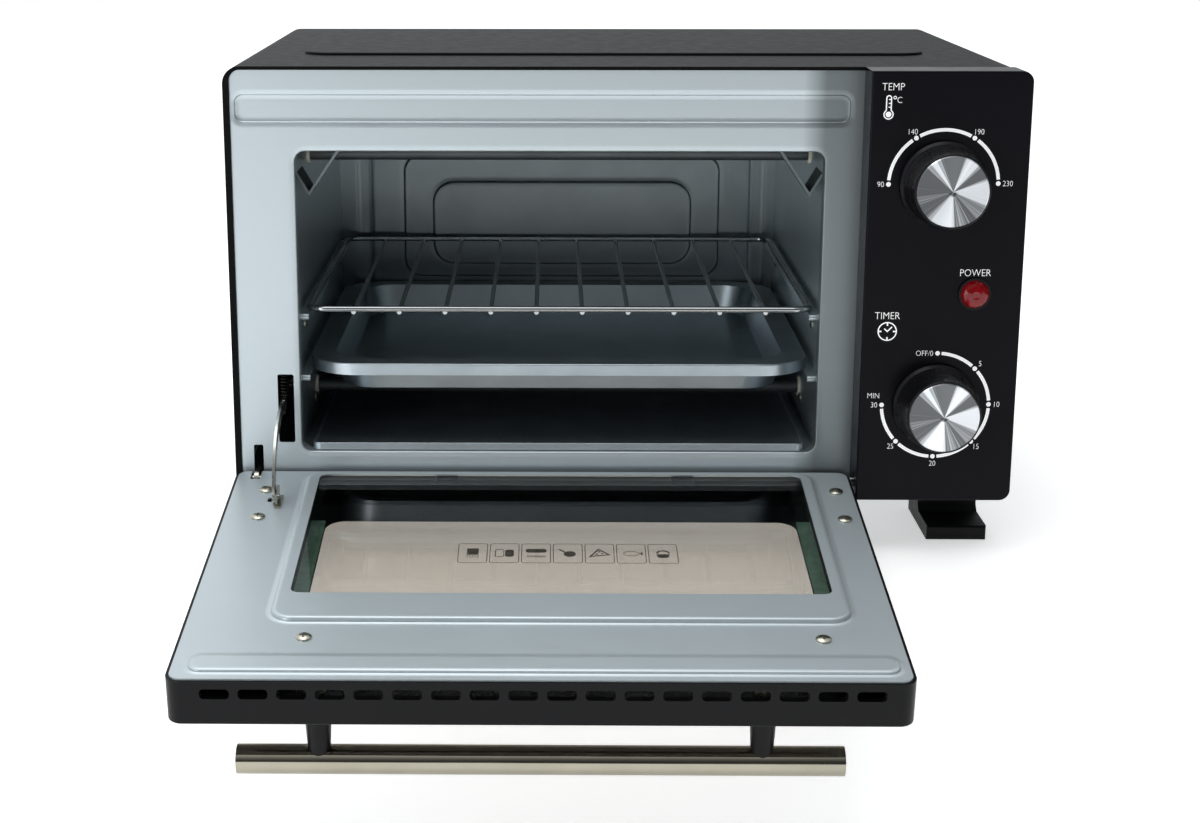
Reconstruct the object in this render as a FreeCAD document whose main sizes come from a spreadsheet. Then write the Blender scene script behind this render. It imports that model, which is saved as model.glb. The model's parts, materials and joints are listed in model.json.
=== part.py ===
import FreeCAD, Part

# A compact bench-top toaster oven, built sheet by sheet: steel housing and cavity, proud control panel
# with two dials, drop-down glazed door with a bar handle, wire rack, baking tray and crumb tray.
#
# Frame: millimetres, +Z up.  X = 0 is the middle of the housing, Y = 0 the plane of its front edge with
# -Y towards the cook, and Z = 0 the surface the feet stand on.  The door is drawn about its hinge axis
# and placed hanging open on its stop.  Distances called "from the left" run from the housing's left side.

import math
import os

import Sketcher

from FreeCAD import Placement, Rotation, Vector

DOC = FreeCAD.newDocument("toaster_oven")

# ---------------------------------------------------------------- driving dimensions

DIMENSIONS = {
    "half_width": (180, "half the housing's width"),
    "body_height": (197, "housing, underside to roof"),
    "body_depth": (225, "housing, front edge to back edge"),
    "base": (25, "height of the housing's underside: the feet"),
    "plate": (0.8, "sheet steel thickness"),
    "fit_gap": (0.2, "clearance between sheets that fit into each other"),
    "corner": (8, "outer radius of the cover's top corners"),
    "lip_side": (3, "width of the cover's turned front edge, sides"),
    "lip_top": (1.6, "width of the cover's turned front edge, top"),
    "emboss_left": (29, "raised roof field, from the left"),
    "emboss_right": (327, "raised roof field, from the left"),
    "emboss_front": (57, "raised roof field, from the front"),
    "emboss_back": (207, "raised roof field, from the front"),
    "emboss_rise": (1.2, "height of the raised roof field"),
    "emboss_round": (14, "corner radius of the raised roof field"),
    "louvre_front": (130, "side louvres, from the front"),
    "louvre_back": (178, "side louvres, from the front"),
    "louvre_low": (62, "lowest side louvre, above the underside"),
    "louvre_tall": (3.2, "height of one side louvre"),
    "louvre_count": (11, "louvres in each side"),
    "louvre_pitch": (8.6, "distance between side louvres"),
    "rear_inset": (0.6, "how far the back wall stands inside the cover's back edge"),
    "rear_deep": (12, "depth of the back wall's pan, from the cover's back edge"),
    "vent_slot": (3.4, "width of an upright vent slot"),
    "rear_pitch": (8.4, "distance between upright vent slots"),
    "rear_vents": (22, "upright vent slots along the top of the back wall"),
    "side_vents": (6, "upright vent slots behind the controls"),
    "base_slot": (4, "width of a slot in the underside"),
    "inlet_x": (142, "cable inlet, right of the middle"),
    "inlet_z": (55, "cable inlet, above the table"),
    "inlet_hole": (6.2, "radius of the cable inlet's hole"),
    "foot_screw_x": (160, "foot screws, from the middle"),
    "foot_screw_front": (34, "front foot screws, from the front"),
    "foot_screw_rear": (196, "rear foot screws, from the front"),
    "mouth_left": (31.5, "cavity opening, from the left"),
    "mouth_right": (272.4, "cavity opening, from the left"),
    "mouth_low": (16.9, "cavity opening, above the underside"),
    "mouth_high": (158.6, "cavity opening, above the underside"),
    "mouth_corner": (5, "corner radius of the cavity opening"),
    "mouth_flange": (7, "depth of the flange turned in round the opening"),
    "cavity_depth": (205, "front plane to the cavity's back wall"),
    "cavity_gap": (1, "how far the cavity walls stand back from the opening"),
    "panel_left": (289, "control panel, from the left"),
    "panel_proud": (19.4, "how far the control panel stands out"),
    "panel_wall": (2, "wall of the moulded control panel"),
    "temp_x": (322.3, "temperature dial, from the left"),
    "temp_z": (147, "temperature dial, above the underside"),
    "timer_x": (323.5, "timer dial, from the left"),
    "timer_z": (45.6, "timer dial, above the underside"),
    "lamp_x": (338.6, "lamp, from the left"),
    "lamp_z": (97.5, "lamp, above the underside"),
    "lamp_size": (6, "radius of the lamp's lens"),
    "knob_skirt": (19.5, "radius of a knob's skirt"),
    "knob_radius": (16.6, "radius of a knob's grip"),
    "knob_height": (22.5, "panel face to the knob's cap"),
    "shaft_size": (3, "radius of a control shaft"),
    "hinge_y": (-4, "hinge axis, front of the housing's front edge"),
    "hinge_z": (30, "hinge axis, above the table"),
    "droop": (7.5, "the open door's angle under horizontal"),
    "door_left": (1, "door, from the left"),
    "door_right": (288, "door, from the left"),
    "door_tall": (192, "door, lower edge to upper edge"),
    "door_thick": (19.4, "door, inner skin to outer glass"),
    "door_edge": (3, "hinge axis to the door's lower edge"),
    "door_skin": (2.9, "hinge axis to the door's inner skin"),
    "door_wall": (3, "wall of the door's frame"),
    "door_corner": (6, "corner radius of the door"),
    "window_left": (41, "door window, from the left"),
    "window_right": (264.5, "door window, from the left"),
    "window_low": (7.7, "door window, from the door's lower edge"),
    "window_high": (124.3, "door window, from the door's lower edge"),
    "ring_rise": (1.6, "how far the field round the window is raised"),
    "glass": (3.2, "glass thickness"),
    "vent_count": (18, "slots in the door's upper edge"),
    "vent_pitch": (14.72, "distance between those slots"),
    "vent_length": (11.4, "length of one slot"),
    "vent_height": (4.3, "width of one slot"),
    "handle_reach": (46, "door's inner skin to the handle's centre"),
    "handle_up": (174, "door's lower edge to the handle's centre"),
    "handle_half": (120, "half the handle's length"),
    "handle_size": (6, "radius of the handle tube"),
    "post_half": (87.3, "half the distance between the handle posts"),
    "pin_size": (1.5, "radius of the hinge pins"),
    "link_radius": (34, "hinge axis to the middle of the door link"),
    "link_left": (23.2, "door link, from the left"),
    "rack_left": (34.6, "rack, from the left"),
    "rack_right": (270, "rack, from the left"),
    "rack_front": (12, "rack, from the front plane"),
    "rack_back": (197, "rack, from the front plane"),
    "rack_z": (83, "rack wires, above the underside"),
    "rack_wire": (1.5, "radius of the rack's frame wire"),
    "rack_rod": (1.1, "radius of the rack's cross wires"),
    "rack_rods": (10, "number of cross wires"),
    "rack_pitch": (21.4, "distance between cross wires"),
    "tray_rim": (57.6, "baking tray rim, above the underside"),
    "tray_deep": (15.2, "depth of the baking tray"),
    "tray_left": (33.5, "baking tray rim, from the left"),
    "tray_right": (270.5, "baking tray rim, from the left"),
    "tray_front": (8, "baking tray rim, from the front plane"),
    "tray_back": (203, "baking tray rim, from the front plane"),
    "crumb_z": (17.2, "crumb tray's underside, above the housing's underside"),
    "heater_size": (3.5, "radius of a heating tube"),
    "foot_wide": (28, "width of a foot"),
    "foot_inset": (6, "foot to the housing's side"),
    "toe_high": (7, "thickness of a foot's toe"),
}


class Size:
    """A length that carries its value and the sheet formula it comes from."""

    def __init__(self, text, value):
        self.text = text
        self.value = float(value)

    def __add__(self, other):
        other = size(other)
        return Size(f"({self.text} + {other.text})", self.value + other.value)

    def __sub__(self, other):
        other = size(other)
        return Size(f"({self.text} - {other.text})", self.value - other.value)

    def __mul__(self, other):
        other = size(other)
        return Size(f"({self.text} * {other.text})", self.value * other.value)

    def __neg__(self):
        return Size(f"(0 - {self.text})", -self.value)

    def leg(self, other):
        """The other short side of a right triangle whose long side is this one."""
        other = size(other)
        long, short = self.value, other.value
        return Size(f"sqrt({self.text} ^ 2 - {other.text} ^ 2)", math.sqrt(long ** 2 - short ** 2))

    def __radd__(self, other):
        return size(other) + self

    def __rsub__(self, other):
        return size(other) - self

    def __rmul__(self, other):
        return size(other) * self


def size(number):
    return number if isinstance(number, Size) else Size(f"({float(number):.6g})", number)


def make_sheet():
    """Write the driving dimensions into the spreadsheet and return them as sizes."""
    sheet = DOC.addObject("Spreadsheet::Sheet", "Sizes")
    for row, (name, (value, note)) in enumerate(DIMENSIONS.items(), 1):
        sheet.set(f"A{row}", name)
        sheet.set(f"B{row}", str(value))
        sheet.setAlias(f"B{row}", name)
        sheet.set(f"C{row}", note)
    DOC.recompute()
    return {name: Size(f"Sizes.{name}", value) for name, (value, _) in DIMENSIONS.items()}


class Named:
    """Gives the driving dimensions as attributes."""

    def __init__(self, table):
        self.__dict__.update(table)


D = Named(make_sheet())
SUBPARTS = []

ROOF = D.base + D.body_height
DOOR_HINGE = (0, D.hinge_y, D.hinge_z)


def from_left(x):
    return x - D.half_width


def above_base(z):
    return D.base + z


# ---------------------------------------------------------------- small building helpers


def bind(thing, field, amount):
    thing.setExpression(field, size(amount).text)


def place(thing, at, axis=(0, 0, 1), angle=0):
    """Put an object at a point given as sizes, turned about an axis."""
    at = [size(c) for c in at]
    angle = size(angle)
    turn = Rotation(Vector(*axis), angle.value)
    thing.Placement = Placement(Vector(*[c.value for c in at]), turn)
    for letter, amount in zip("xyz", at):
        bind(thing, f"Placement.Base.{letter}", amount)


def keep(thing, name, door=False):
    """Register an object as a sub-part; a door piece is moved from its hinge frame to its open place."""
    thing.Label = name
    if door:
        place(thing, DOOR_HINGE, (1, 0, 0), D.droop)
    SUBPARTS.append(thing)
    return thing


def box(low, high, name="block"):
    thing = DOC.addObject("Part::Box", name)
    for field, start, end in zip(("Length", "Width", "Height"), low, high):
        bind(thing, field, size(end) - start)
    place(thing, low)
    return thing


AXES = {"X": ((0, 1, 0), 90), "Y": ((1, 0, 0), -90), "Z": ((0, 0, 1), 0)}


def rod(start, length, radius, along="X", name="rod"):
    """A cylinder from a point, running in the positive sense of one axis."""
    thing = DOC.addObject("Part::Cylinder", name)
    bind(thing, "Radius", radius)
    bind(thing, "Height", length)
    axis, angle = AXES[along]
    place(thing, start, axis, angle)
    return thing


def cone(start, length, radius, end_radius, along="X", name="taper"):
    thing = DOC.addObject("Part::Cone", name)
    bind(thing, "Radius1", radius)
    bind(thing, "Radius2", end_radius)
    bind(thing, "Height", length)
    axis, angle = AXES[along]
    place(thing, start, axis, angle)
    return thing


def fuse(parts, name="joined"):
    thing = DOC.addObject("Part::MultiFuse", name)
    thing.Shapes = parts
    return thing


def cut(whole, parts, name="cut"):
    thing = DOC.addObject("Part::Cut", name)
    thing.Base = whole
    thing.Tool = parts[0] if len(parts) == 1 else fuse(parts)
    return thing


def group(parts, name="group"):
    thing = DOC.addObject("Part::Compound", name)
    thing.Links = parts
    return thing


def shaped(shape, name="shape"):
    """A sub-part whose shape is worked out here rather than by features."""
    thing = DOC.addObject("Part::Feature", name)
    thing.Shape = shape
    return thing


# ---------------------------------------------------------------- sketches and pads

# For each plane: its role in the body's origin and the sense of its normal along the third axis.
PLANES = {"XY": ("XY_Plane", 1), "XZ": ("XZ_Plane", -1), "YZ": ("YZ_Plane", 1)}


def make_body(name):
    body = DOC.addObject("PartDesign::Body", name)
    body.Label = name
    return body


def origin_plane(body, role):
    return next(f for f in body.Origin.OriginFeatures if f.Role == role)


def fix(sketch, thing, point, x, y):
    """Hold one sketch point at a place given as sizes."""
    for kind, amount in (("DistanceX", size(x)), ("DistanceY", size(y))):
        number = sketch.addConstraint(Sketcher.Constraint(kind, -1, 1, thing, point, amount.value))
        sketch.setExpression(f"Constraints[{number}]", amount.text)


def circle(x, y, radius):
    """A loop for outline(): a circle."""

    def draw(sketch):
        x_at, y_at, r_at = size(x), size(y), size(radius)
        middle = Vector(x_at.value, y_at.value, 0)
        number = sketch.addGeometry(Part.Circle(middle, Vector(0, 0, 1), r_at.value), False)
        fix(sketch, number, 3, x_at, y_at)
        held = sketch.addConstraint(Sketcher.Constraint("Radius", number, r_at.value))
        sketch.setExpression(f"Constraints[{held}]", r_at.text)

    return draw


def polygon(points):
    """A loop for outline(): straight sides between the points."""

    def draw(sketch):
        spots = [(size(x), size(y)) for x, y in points]
        flat = [Vector(x.value, y.value, 0) for x, y in spots]
        sides = []
        for number, start in enumerate(flat):
            end = flat[(number + 1) % len(flat)]
            sides.append(sketch.addGeometry(Part.LineSegment(start, end), False))
        for number, side in enumerate(sides):
            following = sides[(number + 1) % len(sides)]
            sketch.addConstraint(Sketcher.Constraint("Coincident", side, 2, following, 1))
            fix(sketch, side, 1, *spots[number])

    return draw


def rectangle(left, low, right, high, radius=0, corners=(1, 1, 1, 1)):
    """A loop for outline(): corners are, in turn, low left, low right, high right and high left."""
    if not size(radius).value:
        return polygon([(left, low), (right, low), (right, high), (left, high)])

    def draw(sketch):
        r = size(radius)
        inward = ((1, 1), (-1, 1), (-1, -1), (1, -1))
        points = ((left, low), (right, low), (right, high), (left, high))
        arcs = []
        for number, (x, y) in enumerate(points):
            if not corners[number]:
                arcs.append(None)
                continue
            x_mid = size(x) + inward[number][0] * r
            y_mid = size(y) + inward[number][1] * r
            start = math.pi + number * math.pi / 2
            around = Part.Circle(Vector(x_mid.value, y_mid.value, 0), Vector(0, 0, 1), r.value)
            arc = sketch.addGeometry(Part.ArcOfCircle(around, start, start + math.pi / 2), False)
            fix(sketch, arc, 3, x_mid, y_mid)
            held = sketch.addConstraint(Sketcher.Constraint("Radius", arc, r.value))
            sketch.setExpression(f"Constraints[{held}]", r.text)
            first, second = ("Horizontal", "Vertical") if number % 2 == 0 else ("Vertical", "Horizontal")
            sketch.addConstraint(Sketcher.Constraint(first, arc, 3, arc, 1))
            sketch.addConstraint(Sketcher.Constraint(second, arc, 3, arc, 2))
            arcs.append(arc)
        for number in range(4):
            join_corners(sketch, points, arcs, number)

    def join_corners(sketch, points, arcs, number):
        after = (number + 1) % 4
        start, end = arcs[number], arcs[after]
        spots = []
        for arc, end_point, corner in ((start, 2, number), (end, 1, after)):
            if arc is None:
                x, y = points[corner]
                spots.append(Vector(size(x).value, size(y).value, 0))
            else:
                spots.append(sketch.getPoint(arc, end_point))
        side = sketch.addGeometry(Part.LineSegment(*spots), False)
        for arc, arc_point, line_point, corner in ((start, 2, 1, number), (end, 1, 2, after)):
            if arc is None:
                fix(sketch, side, line_point, *points[corner])
            else:
                sketch.addConstraint(Sketcher.Constraint("Coincident", side, line_point, arc, arc_point))

    return draw


def outline(body, plane, height, loops):
    """A sketch on one of the body's planes, lifted to a height along the third axis."""
    role, sense = PLANES[plane]
    sketch = body.newObject("Sketcher::SketchObject", "Outline")
    sketch.AttachmentSupport = [(origin_plane(body, role), "")]
    sketch.MapMode = "FlatFace"
    lift = size(height) if sense > 0 else -size(height)
    sketch.AttachmentOffset = Placement(Vector(0, 0, lift.value), Rotation())
    sketch.setExpression("AttachmentOffset.Base.z", lift.text)
    for draw in loops:
        draw(sketch)
    return sketch


def slab(body, plane, start, end, *loops):
    """Add material between two heights along the plane's third axis."""
    high = PLANES[plane][1] < 0
    pad = body.newObject("PartDesign::Pad", "Slab")
    pad.Profile = outline(body, plane, end if high else start, loops)
    bind(pad, "Length", size(end) - start)
    return pad


def carve(body, plane, start, end, *loops):
    """Take material away between two heights along the plane's third axis."""
    high = PLANES[plane][1] > 0
    before = solid_volume(body)
    pocket = body.newObject("PartDesign::Pocket", "Carve")
    pocket.Profile = outline(body, plane, end if high else start, loops)
    bind(pocket, "Length", size(end) - start)
    if solid_volume(body) >= before:
        raise RuntimeError(f"{body.Label}: a pocket took nothing away")
    return pocket


def solid_volume(body):
    DOC.recompute()
    return body.Shape.Volume


def repeat(body, feature, axis_role, count, pitch):
    """Repeat a feature along one of the body's axes."""
    row = body.newObject("PartDesign::LinearPattern", "Row")
    row.Originals = [feature]
    row.Direction = (origin_plane(body, axis_role), [""])
    size_count, size_pitch = size(count), size(pitch)
    row.Occurrences = int(size_count.value)
    row.setExpression("Occurrences", size_count.text)
    bind(row, "Length", (size_count - 1) * size_pitch)
    body.Tip = row
    return row


def spin(body, plane, points):
    """A turned solid: the outline's half profile is drawn beside the sketch's upright axis."""
    sketch = outline(body, plane, 0, [polygon(points)])
    turned = body.newObject("PartDesign::Revolution", "Turned")
    turned.Profile = sketch
    turned.ReferenceAxis = (sketch, ["V_Axis"])
    turned.Angle = 360
    return turned


def soften(body, radius, chosen, kind="PartDesign::Fillet"):
    """Round (or chamfer) the edges of the body's solid that the test picks."""
    DOC.recompute()
    tip = body.Tip
    names = [f"Edge{n}" for n, edge in enumerate(tip.Shape.Edges, 1) if chosen(edge)]
    if not names:
        raise RuntimeError(f"{body.Label}: no edge to soften")
    softened = body.newObject(kind, "Soft")
    softened.Base = (tip, names)
    bind(softened, "Size" if kind.endswith("Chamfer") else "Radius", radius)
    return softened


def edge_box(edge):
    return edge.BoundBox


def near(value, target, slack=0.02):
    return abs(value - size(target).value) < slack


def flat_at(edge, letter, target):
    """Whether an edge lies wholly at one place along an axis."""
    bounds = edge_box(edge)
    return near(getattr(bounds, letter + "Min"), target) and near(getattr(bounds, letter + "Max"), target)


# ---------------------------------------------------------------- housing

REAR_FACE = D.body_depth - D.rear_inset
FOOT_SCREWS_X = (-D.foot_screw_x, D.foot_screw_x)
FOOT_SCREWS_Y = (D.foot_screw_front, D.foot_screw_rear)


def outer_cover():
    """The roof and both sides in one bent sheet, its front edge turned in, with a raised roof field."""
    body = make_body("outer_cover")
    side, top, low = D.half_width, ROOF, D.base
    up = (0, 0, 1, 1)
    slab(body, "XZ", 0, D.body_depth, rectangle(-side, low, side, top, D.corner, up))
    inner = side - D.plate
    carve(body, "XZ", D.plate, D.body_depth + 1,
          rectangle(-inner, low - 1, inner, top - D.plate, D.corner - D.plate, up))
    lip = side - D.lip_side
    carve(body, "XZ", -1, D.plate + 0.1,
          rectangle(-lip, low - 1, lip, top - D.lip_top, D.corner - D.lip_side, up))
    field = (from_left(D.emboss_left), D.emboss_front, from_left(D.emboss_right), D.emboss_back)
    slab(body, "XY", top - 0.1, top + D.emboss_rise, rectangle(*field, D.emboss_round))
    soften(body, D.emboss_rise * 0.8, lambda e: near(edge_box(e).ZMin, top + D.emboss_rise, 0.1))
    pressed = [field[0] + D.plate, field[1] + D.plate, field[2] - D.plate, field[3] - D.plate]
    carve(body, "XY", top - D.plate - 0.1, top + D.emboss_rise - D.plate,
          rectangle(*pressed, D.emboss_round - 1))
    low_edge = above_base(D.louvre_low)
    louvre = carve(body, "YZ", -side - 1, side + 1,
                   rectangle(D.louvre_front, low_edge, D.louvre_back, low_edge + D.louvre_tall, 1.5))
    repeat(body, louvre, "Z_Axis", D.louvre_count, D.louvre_pitch)
    return keep(body, "outer_cover")


def rear_panel():
    """The back wall: a shallow pan let into the cover, with vents and the hole for the cable inlet."""
    body = make_body("rear_panel")
    side = D.half_width - D.plate - D.fit_gap
    top = ROOF - D.plate - D.fit_gap
    low = D.base + D.plate + D.fit_gap
    round_top = D.corner - D.plate - D.fit_gap
    up = (0, 0, 1, 1)
    front, back = D.body_depth - D.rear_deep, REAR_FACE
    slab(body, "XZ", front, back, rectangle(-side, low, side, top, round_top, up))
    carve(body, "XZ", front - 1, back - D.plate,
          rectangle(-side + D.plate, low + D.plate, side - D.plate, top - D.plate, round_top - D.plate, up))
    for start, low_end, high_end, count in ((-150, ROOF - 60, ROOF - 28, D.rear_vents),
                                            (112, D.base + 92, D.base + 150, D.side_vents)):
        slot = carve(body, "XZ", front, back + 1,
                     rectangle(start, low_end, start + D.vent_slot, high_end, 1.6))
        repeat(body, slot, "X_Axis", count, D.rear_pitch)
    carve(body, "XZ", front, back + 1, circle(D.inlet_x, D.inlet_z, D.inlet_hole))
    return keep(body, "rear_panel")


def base_plate():
    """The underside, with a row of cooling slots under the control compartment."""
    body = make_body("base_plate")
    side = D.half_width - D.plate - D.fit_gap
    slab(body, "XY", D.base, D.base + D.plate, rectangle(-side, 2, side, D.body_depth - 1, 2))
    for start, front, back, count, pitch in ((112, 70, 130, 7, 8), (-120, 96, 132, 23, 8.6)):
        slot = carve(body, "XY", D.base - 1, D.base + 2,
                     rectangle(start, front, start + D.base_slot, back, 1.9))
        repeat(body, slot, "X_Axis", count, pitch)
    for x in FOOT_SCREWS_X:
        for y in FOOT_SCREWS_Y:
            carve(body, "XY", D.base - 1, D.base + 2, circle(x, y, 1.8))
    return keep(body, "base_plate")


def mouth(grow=0):
    """The outline of the cavity opening, let out by an amount."""
    return (from_left(D.mouth_left) - grow, above_base(D.mouth_low) - grow,
            from_left(D.mouth_right) + grow, above_base(D.mouth_high) + grow, D.mouth_corner + grow)


FRAME_FRONT = D.plate
FRAME_BACK = D.plate * 2


def front_frame():
    """The zinc-coated front sheet round the opening, with its pressed channel, slots and dial holes."""
    body = make_body("front_frame")
    side = D.half_width - 1.2
    slab(body, "XZ", FRAME_FRONT, FRAME_BACK,
         rectangle(-side, D.base + 0.3, side, ROOF - 1.2, D.corner - 1.6, (0, 0, 1, 1)))
    channel = [from_left(4.9), above_base(171.6), from_left(283.1), above_base(184.4)]
    back = [channel[0] - D.plate, channel[1] - D.plate, channel[2] + D.plate, channel[3] + D.plate]
    slab(body, "XZ", FRAME_FRONT + 0.1, FRAME_BACK + 1, rectangle(*back, 4.8))
    carve(body, "XZ", FRAME_FRONT - 1, FRAME_FRONT + 1, rectangle(*channel, 4))
    soften(body, 0.7, lambda e: flat_at(e, "Y", FRAME_FRONT + 1) and edge_box(e).ZMin > above_base(171).value)
    slab(body, "XZ", FRAME_FRONT + 0.1, FRAME_FRONT + D.mouth_flange, rectangle(*mouth(D.plate)))
    carve(body, "XZ", -1, FRAME_FRONT + D.mouth_flange + 1, rectangle(*mouth()))
    soften(body, D.plate * 0.9, lambda e: near(edge_box(e).YMax, FRAME_FRONT) and in_mouth_edge(e))
    for left, low, right, high in ((20.8, 21.2, 28.4, 54.1), (8.7, 1.5, 13.2, 20)):
        carve(body, "XZ", -1, 4,
              rectangle(from_left(left), above_base(low), from_left(right), above_base(high), 1))
    for x, z, radius in ((D.temp_x, D.temp_z, 6), (D.timer_x, D.timer_z, 6), (D.lamp_x, D.lamp_z, 6.6)):
        carve(body, "XZ", -1, 4, circle(from_left(x), above_base(z), radius))
    return keep(body, "front_frame")


def in_mouth_edge(edge):
    bounds = edge_box(edge)
    left, low, right, high, _ = [size(c).value for c in mouth(0.1)]
    inside = bounds.XMin > left and bounds.XMax < right and bounds.ZMin > low and bounds.ZMax < high
    return inside and near(edge_box(edge).YMin, FRAME_FRONT)


# ---------------------------------------------------------------- oven cavity

WALL_LEFT = from_left(D.mouth_left) - D.cavity_gap
WALL_RIGHT = from_left(D.mouth_right) + D.cavity_gap
FLOOR_Z = above_base(D.mouth_low) - D.cavity_gap
CEILING_Z = above_base(D.mouth_high) + D.cavity_gap
CAVITY_FRONT = FRAME_BACK + D.fit_gap
HEATERS = {"upper_heater_front": (60, 150), "upper_heater_rear": (142, 150),
           "lower_heater_front": (72, 31), "lower_heater_rear": (148, 31)}
LEDGE_DEEP = 4.6
RACK_LEDGE = above_base(D.rack_z) - D.rack_wire - 0.3
TRAY_LEDGE = above_base(D.tray_rim) - 5.9


def cavity_side(name, wall, outward):
    """One side wall, with the pressed ledges that carry the rack and the tray, and the heater holes."""
    body = make_body(name)
    outer = wall + outward * D.plate
    near_side, far_side = (outer, wall) if outward < 0 else (wall, outer)
    edge = (CAVITY_FRONT, FLOOR_Z, D.cavity_depth, CEILING_Z)
    slab(body, "YZ", near_side, far_side, rectangle(*edge))
    for level in (RACK_LEDGE, TRAY_LEDGE):
        ledge = wall - outward * LEDGE_DEEP
        span = (ledge, wall) if outward < 0 else (wall, ledge)
        span = span if span[0].value < span[1].value else (span[1], span[0])
        slab(body, "YZ", span[0], span[1], rectangle(9, level - 3.2, D.cavity_depth - 3, level, 1.5))
    for y, z in HEATERS.values():
        carve(body, "YZ", near_side - 1, far_side + 1, circle(y, above_base(z), D.heater_size + 1.6))
    return keep(body, name)


def cavity_back():
    """The cavity's rear wall: two nested pressed fields and an upright rib near each side."""
    body = make_body("cavity_back")
    front, back = D.cavity_depth + D.fit_gap, D.cavity_depth + D.fit_gap + D.plate
    slab(body, "XZ", front, back, rectangle(WALL_LEFT - 2, FLOOR_Z, WALL_RIGHT + 2, CEILING_Z))
    fields = ((66, 60, 242.5, 129.5, 10, 2.2), (82.3, 67.5, 226.7, 114.5, 12, 4.2))
    for left, low, right, high, radius, rise in fields:
        field = [from_left(left), above_base(low), from_left(right), above_base(high)]
        slab(body, "XZ", front - rise, front + 0.1, rectangle(*field, radius))
        soften(body, 1.6, lambda e, y=front - rise: near(edge_box(e).YMax, y))
    for left in (40.4, 259.6):
        slab(body, "XZ", front - 1.6, front + 0.1,
             rectangle(from_left(left), FLOOR_Z + 6, from_left(left + 7.6), CEILING_Z - 2, 2))
    return keep(body, "cavity_back")


def cavity_plates():
    """The cavity's floor and ceiling, and the heat shield beside the controls."""
    edges = (WALL_LEFT - 2, CAVITY_FRONT, WALL_RIGHT + 2, D.cavity_depth)
    gap = D.fit_gap
    floor = box((edges[0], edges[1], FLOOR_Z - D.plate - gap), (edges[2], edges[3], FLOOR_Z - gap), "floor")
    keep(floor, "cavity_floor")
    roof = make_body("cavity_ceiling")
    slab(roof, "XY", CEILING_Z + gap, CEILING_Z + gap + D.plate, rectangle(*edges))
    slab(roof, "XY", CEILING_Z - 1.4, CEILING_Z + gap + 0.1, rectangle(-118, 96, 62, 100, 1.9))
    slab(roof, "XY", CEILING_Z - 1.4, CEILING_Z + gap + 0.1, rectangle(-118, 176, 62, 180, 1.9))
    keep(roof, "cavity_ceiling")
    shield_x = WALL_RIGHT + 8
    shield = box((shield_x, 8, D.base + 4), (shield_x + D.plate, D.body_depth - 16, ROOF - 8), "shield")
    holes = [rod((shield_x - 1, y, above_base(z)), 4, 6) for y, z in HEATERS.values()]
    keep(cut(shield, holes), "heat_shield")


def heaters():
    """Four straight tube heaters through the side walls, with ceramic ends and terminal studs."""
    start, end, stud = WALL_LEFT - 9, WALL_RIGHT + 7, 5
    beads, studs = [], []
    for name, (y, z) in HEATERS.items():
        tube = rod((start, y, above_base(z)), end - start, D.heater_size)
        keep(tube, name)
        for wall, sense in ((WALL_LEFT, -1), (WALL_RIGHT, 1)):
            collar = wall + D.plate * sense
            low_x = collar - 4 if sense < 0 else collar
            neck_x = wall - 1.0 if sense < 0 else wall - 1.2
            bead = fuse([rod((low_x, y, above_base(z)), 4, D.heater_size + 3.4),
                         rod((neck_x, y, above_base(z)), 2.2, D.heater_size + 1.4)])
            hole = rod((wall - 12, y, above_base(z)), 24, D.heater_size + 0.08)
            beads.append(cut(bead, [hole]))
            stud_x = start - stud if sense < 0 else end
            studs.append(rod((stud_x, y, above_base(z)), stud, 1.6))
    keep(group(beads), "heater_insulators")
    keep(group(studs), "heater_terminals")


def heater_brackets():
    """A bent bracket in each upper front corner of the cavity."""
    top = CEILING_Z - 0.1
    section = ((0.1, 15), (5.5, 24), (21, 1.2), (24, 1.2), (24, 0), (20.4, 0), (5.5, 21.8), (0.1, 12.6))
    for side, wall, sense in (("left", WALL_LEFT, 1), ("right", WALL_RIGHT, -1)):
        name = f"heater_bracket_{side}"
        body = make_body(name)
        slab(body, "XZ", 16, 36, polygon([(wall + sense * across, top - down) for across, down in section]))
        keep(body, name)


def screw_shape(at, outward, head=3.0, long=7.0, tall=1.7, cross=True):
    """A pan-head screw: its head stands on the point and faces outward, its shank runs the other way."""
    at, outward = Vector(*at), Vector(*outward).normalize()
    rim = tall * 0.45
    turned = Rotation(Vector(0, 0, 1), outward)
    shank = head * 0.45
    profile = [Vector(0, 0, -long), Vector(shank, 0, -long), Vector(shank, 0, 0), Vector(head, 0, 0),
               Vector(head, 0, rim)]
    lines = [Part.LineSegment(a, b).toShape() for a, b in zip(profile, profile[1:])]
    ball = (head ** 2 + (tall - rim) ** 2) / (2 * (tall - rim))
    half_turn = math.asin(head / ball) / 2
    halfway = Vector(ball * math.sin(half_turn), 0, tall - ball * (1 - math.cos(half_turn)))
    crown = Part.Arc(Vector(head, 0, rim), halfway, Vector(0, 0, tall)).toShape()
    closing = Part.LineSegment(Vector(0, 0, tall), Vector(0, 0, -long)).toShape()
    wire = Part.Wire(lines + [crown, closing])
    shape = Part.Face(wire).revolve(Vector(0, 0, 0), Vector(0, 0, 1), 360)
    if cross:
        for wide, deep in ((head * 1.1, head * 0.24), (head * 0.24, head * 1.1)):
            shape = shape.cut(Part.makeBox(wide, deep, tall, Vector(-wide / 2, -deep / 2, tall * 0.42)))
    shape.Placement = Placement(at, turned)
    return shape


def screw_group(name, spots, door=False, **kind):
    """Separate screws in one node; each spot is a point and the way its head faces."""
    shapes = [screw_shape([size(c).value for c in at], outward, **kind) for at, outward in spots]
    return keep(shaped(Part.makeCompound(shapes)), name, door)


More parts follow.
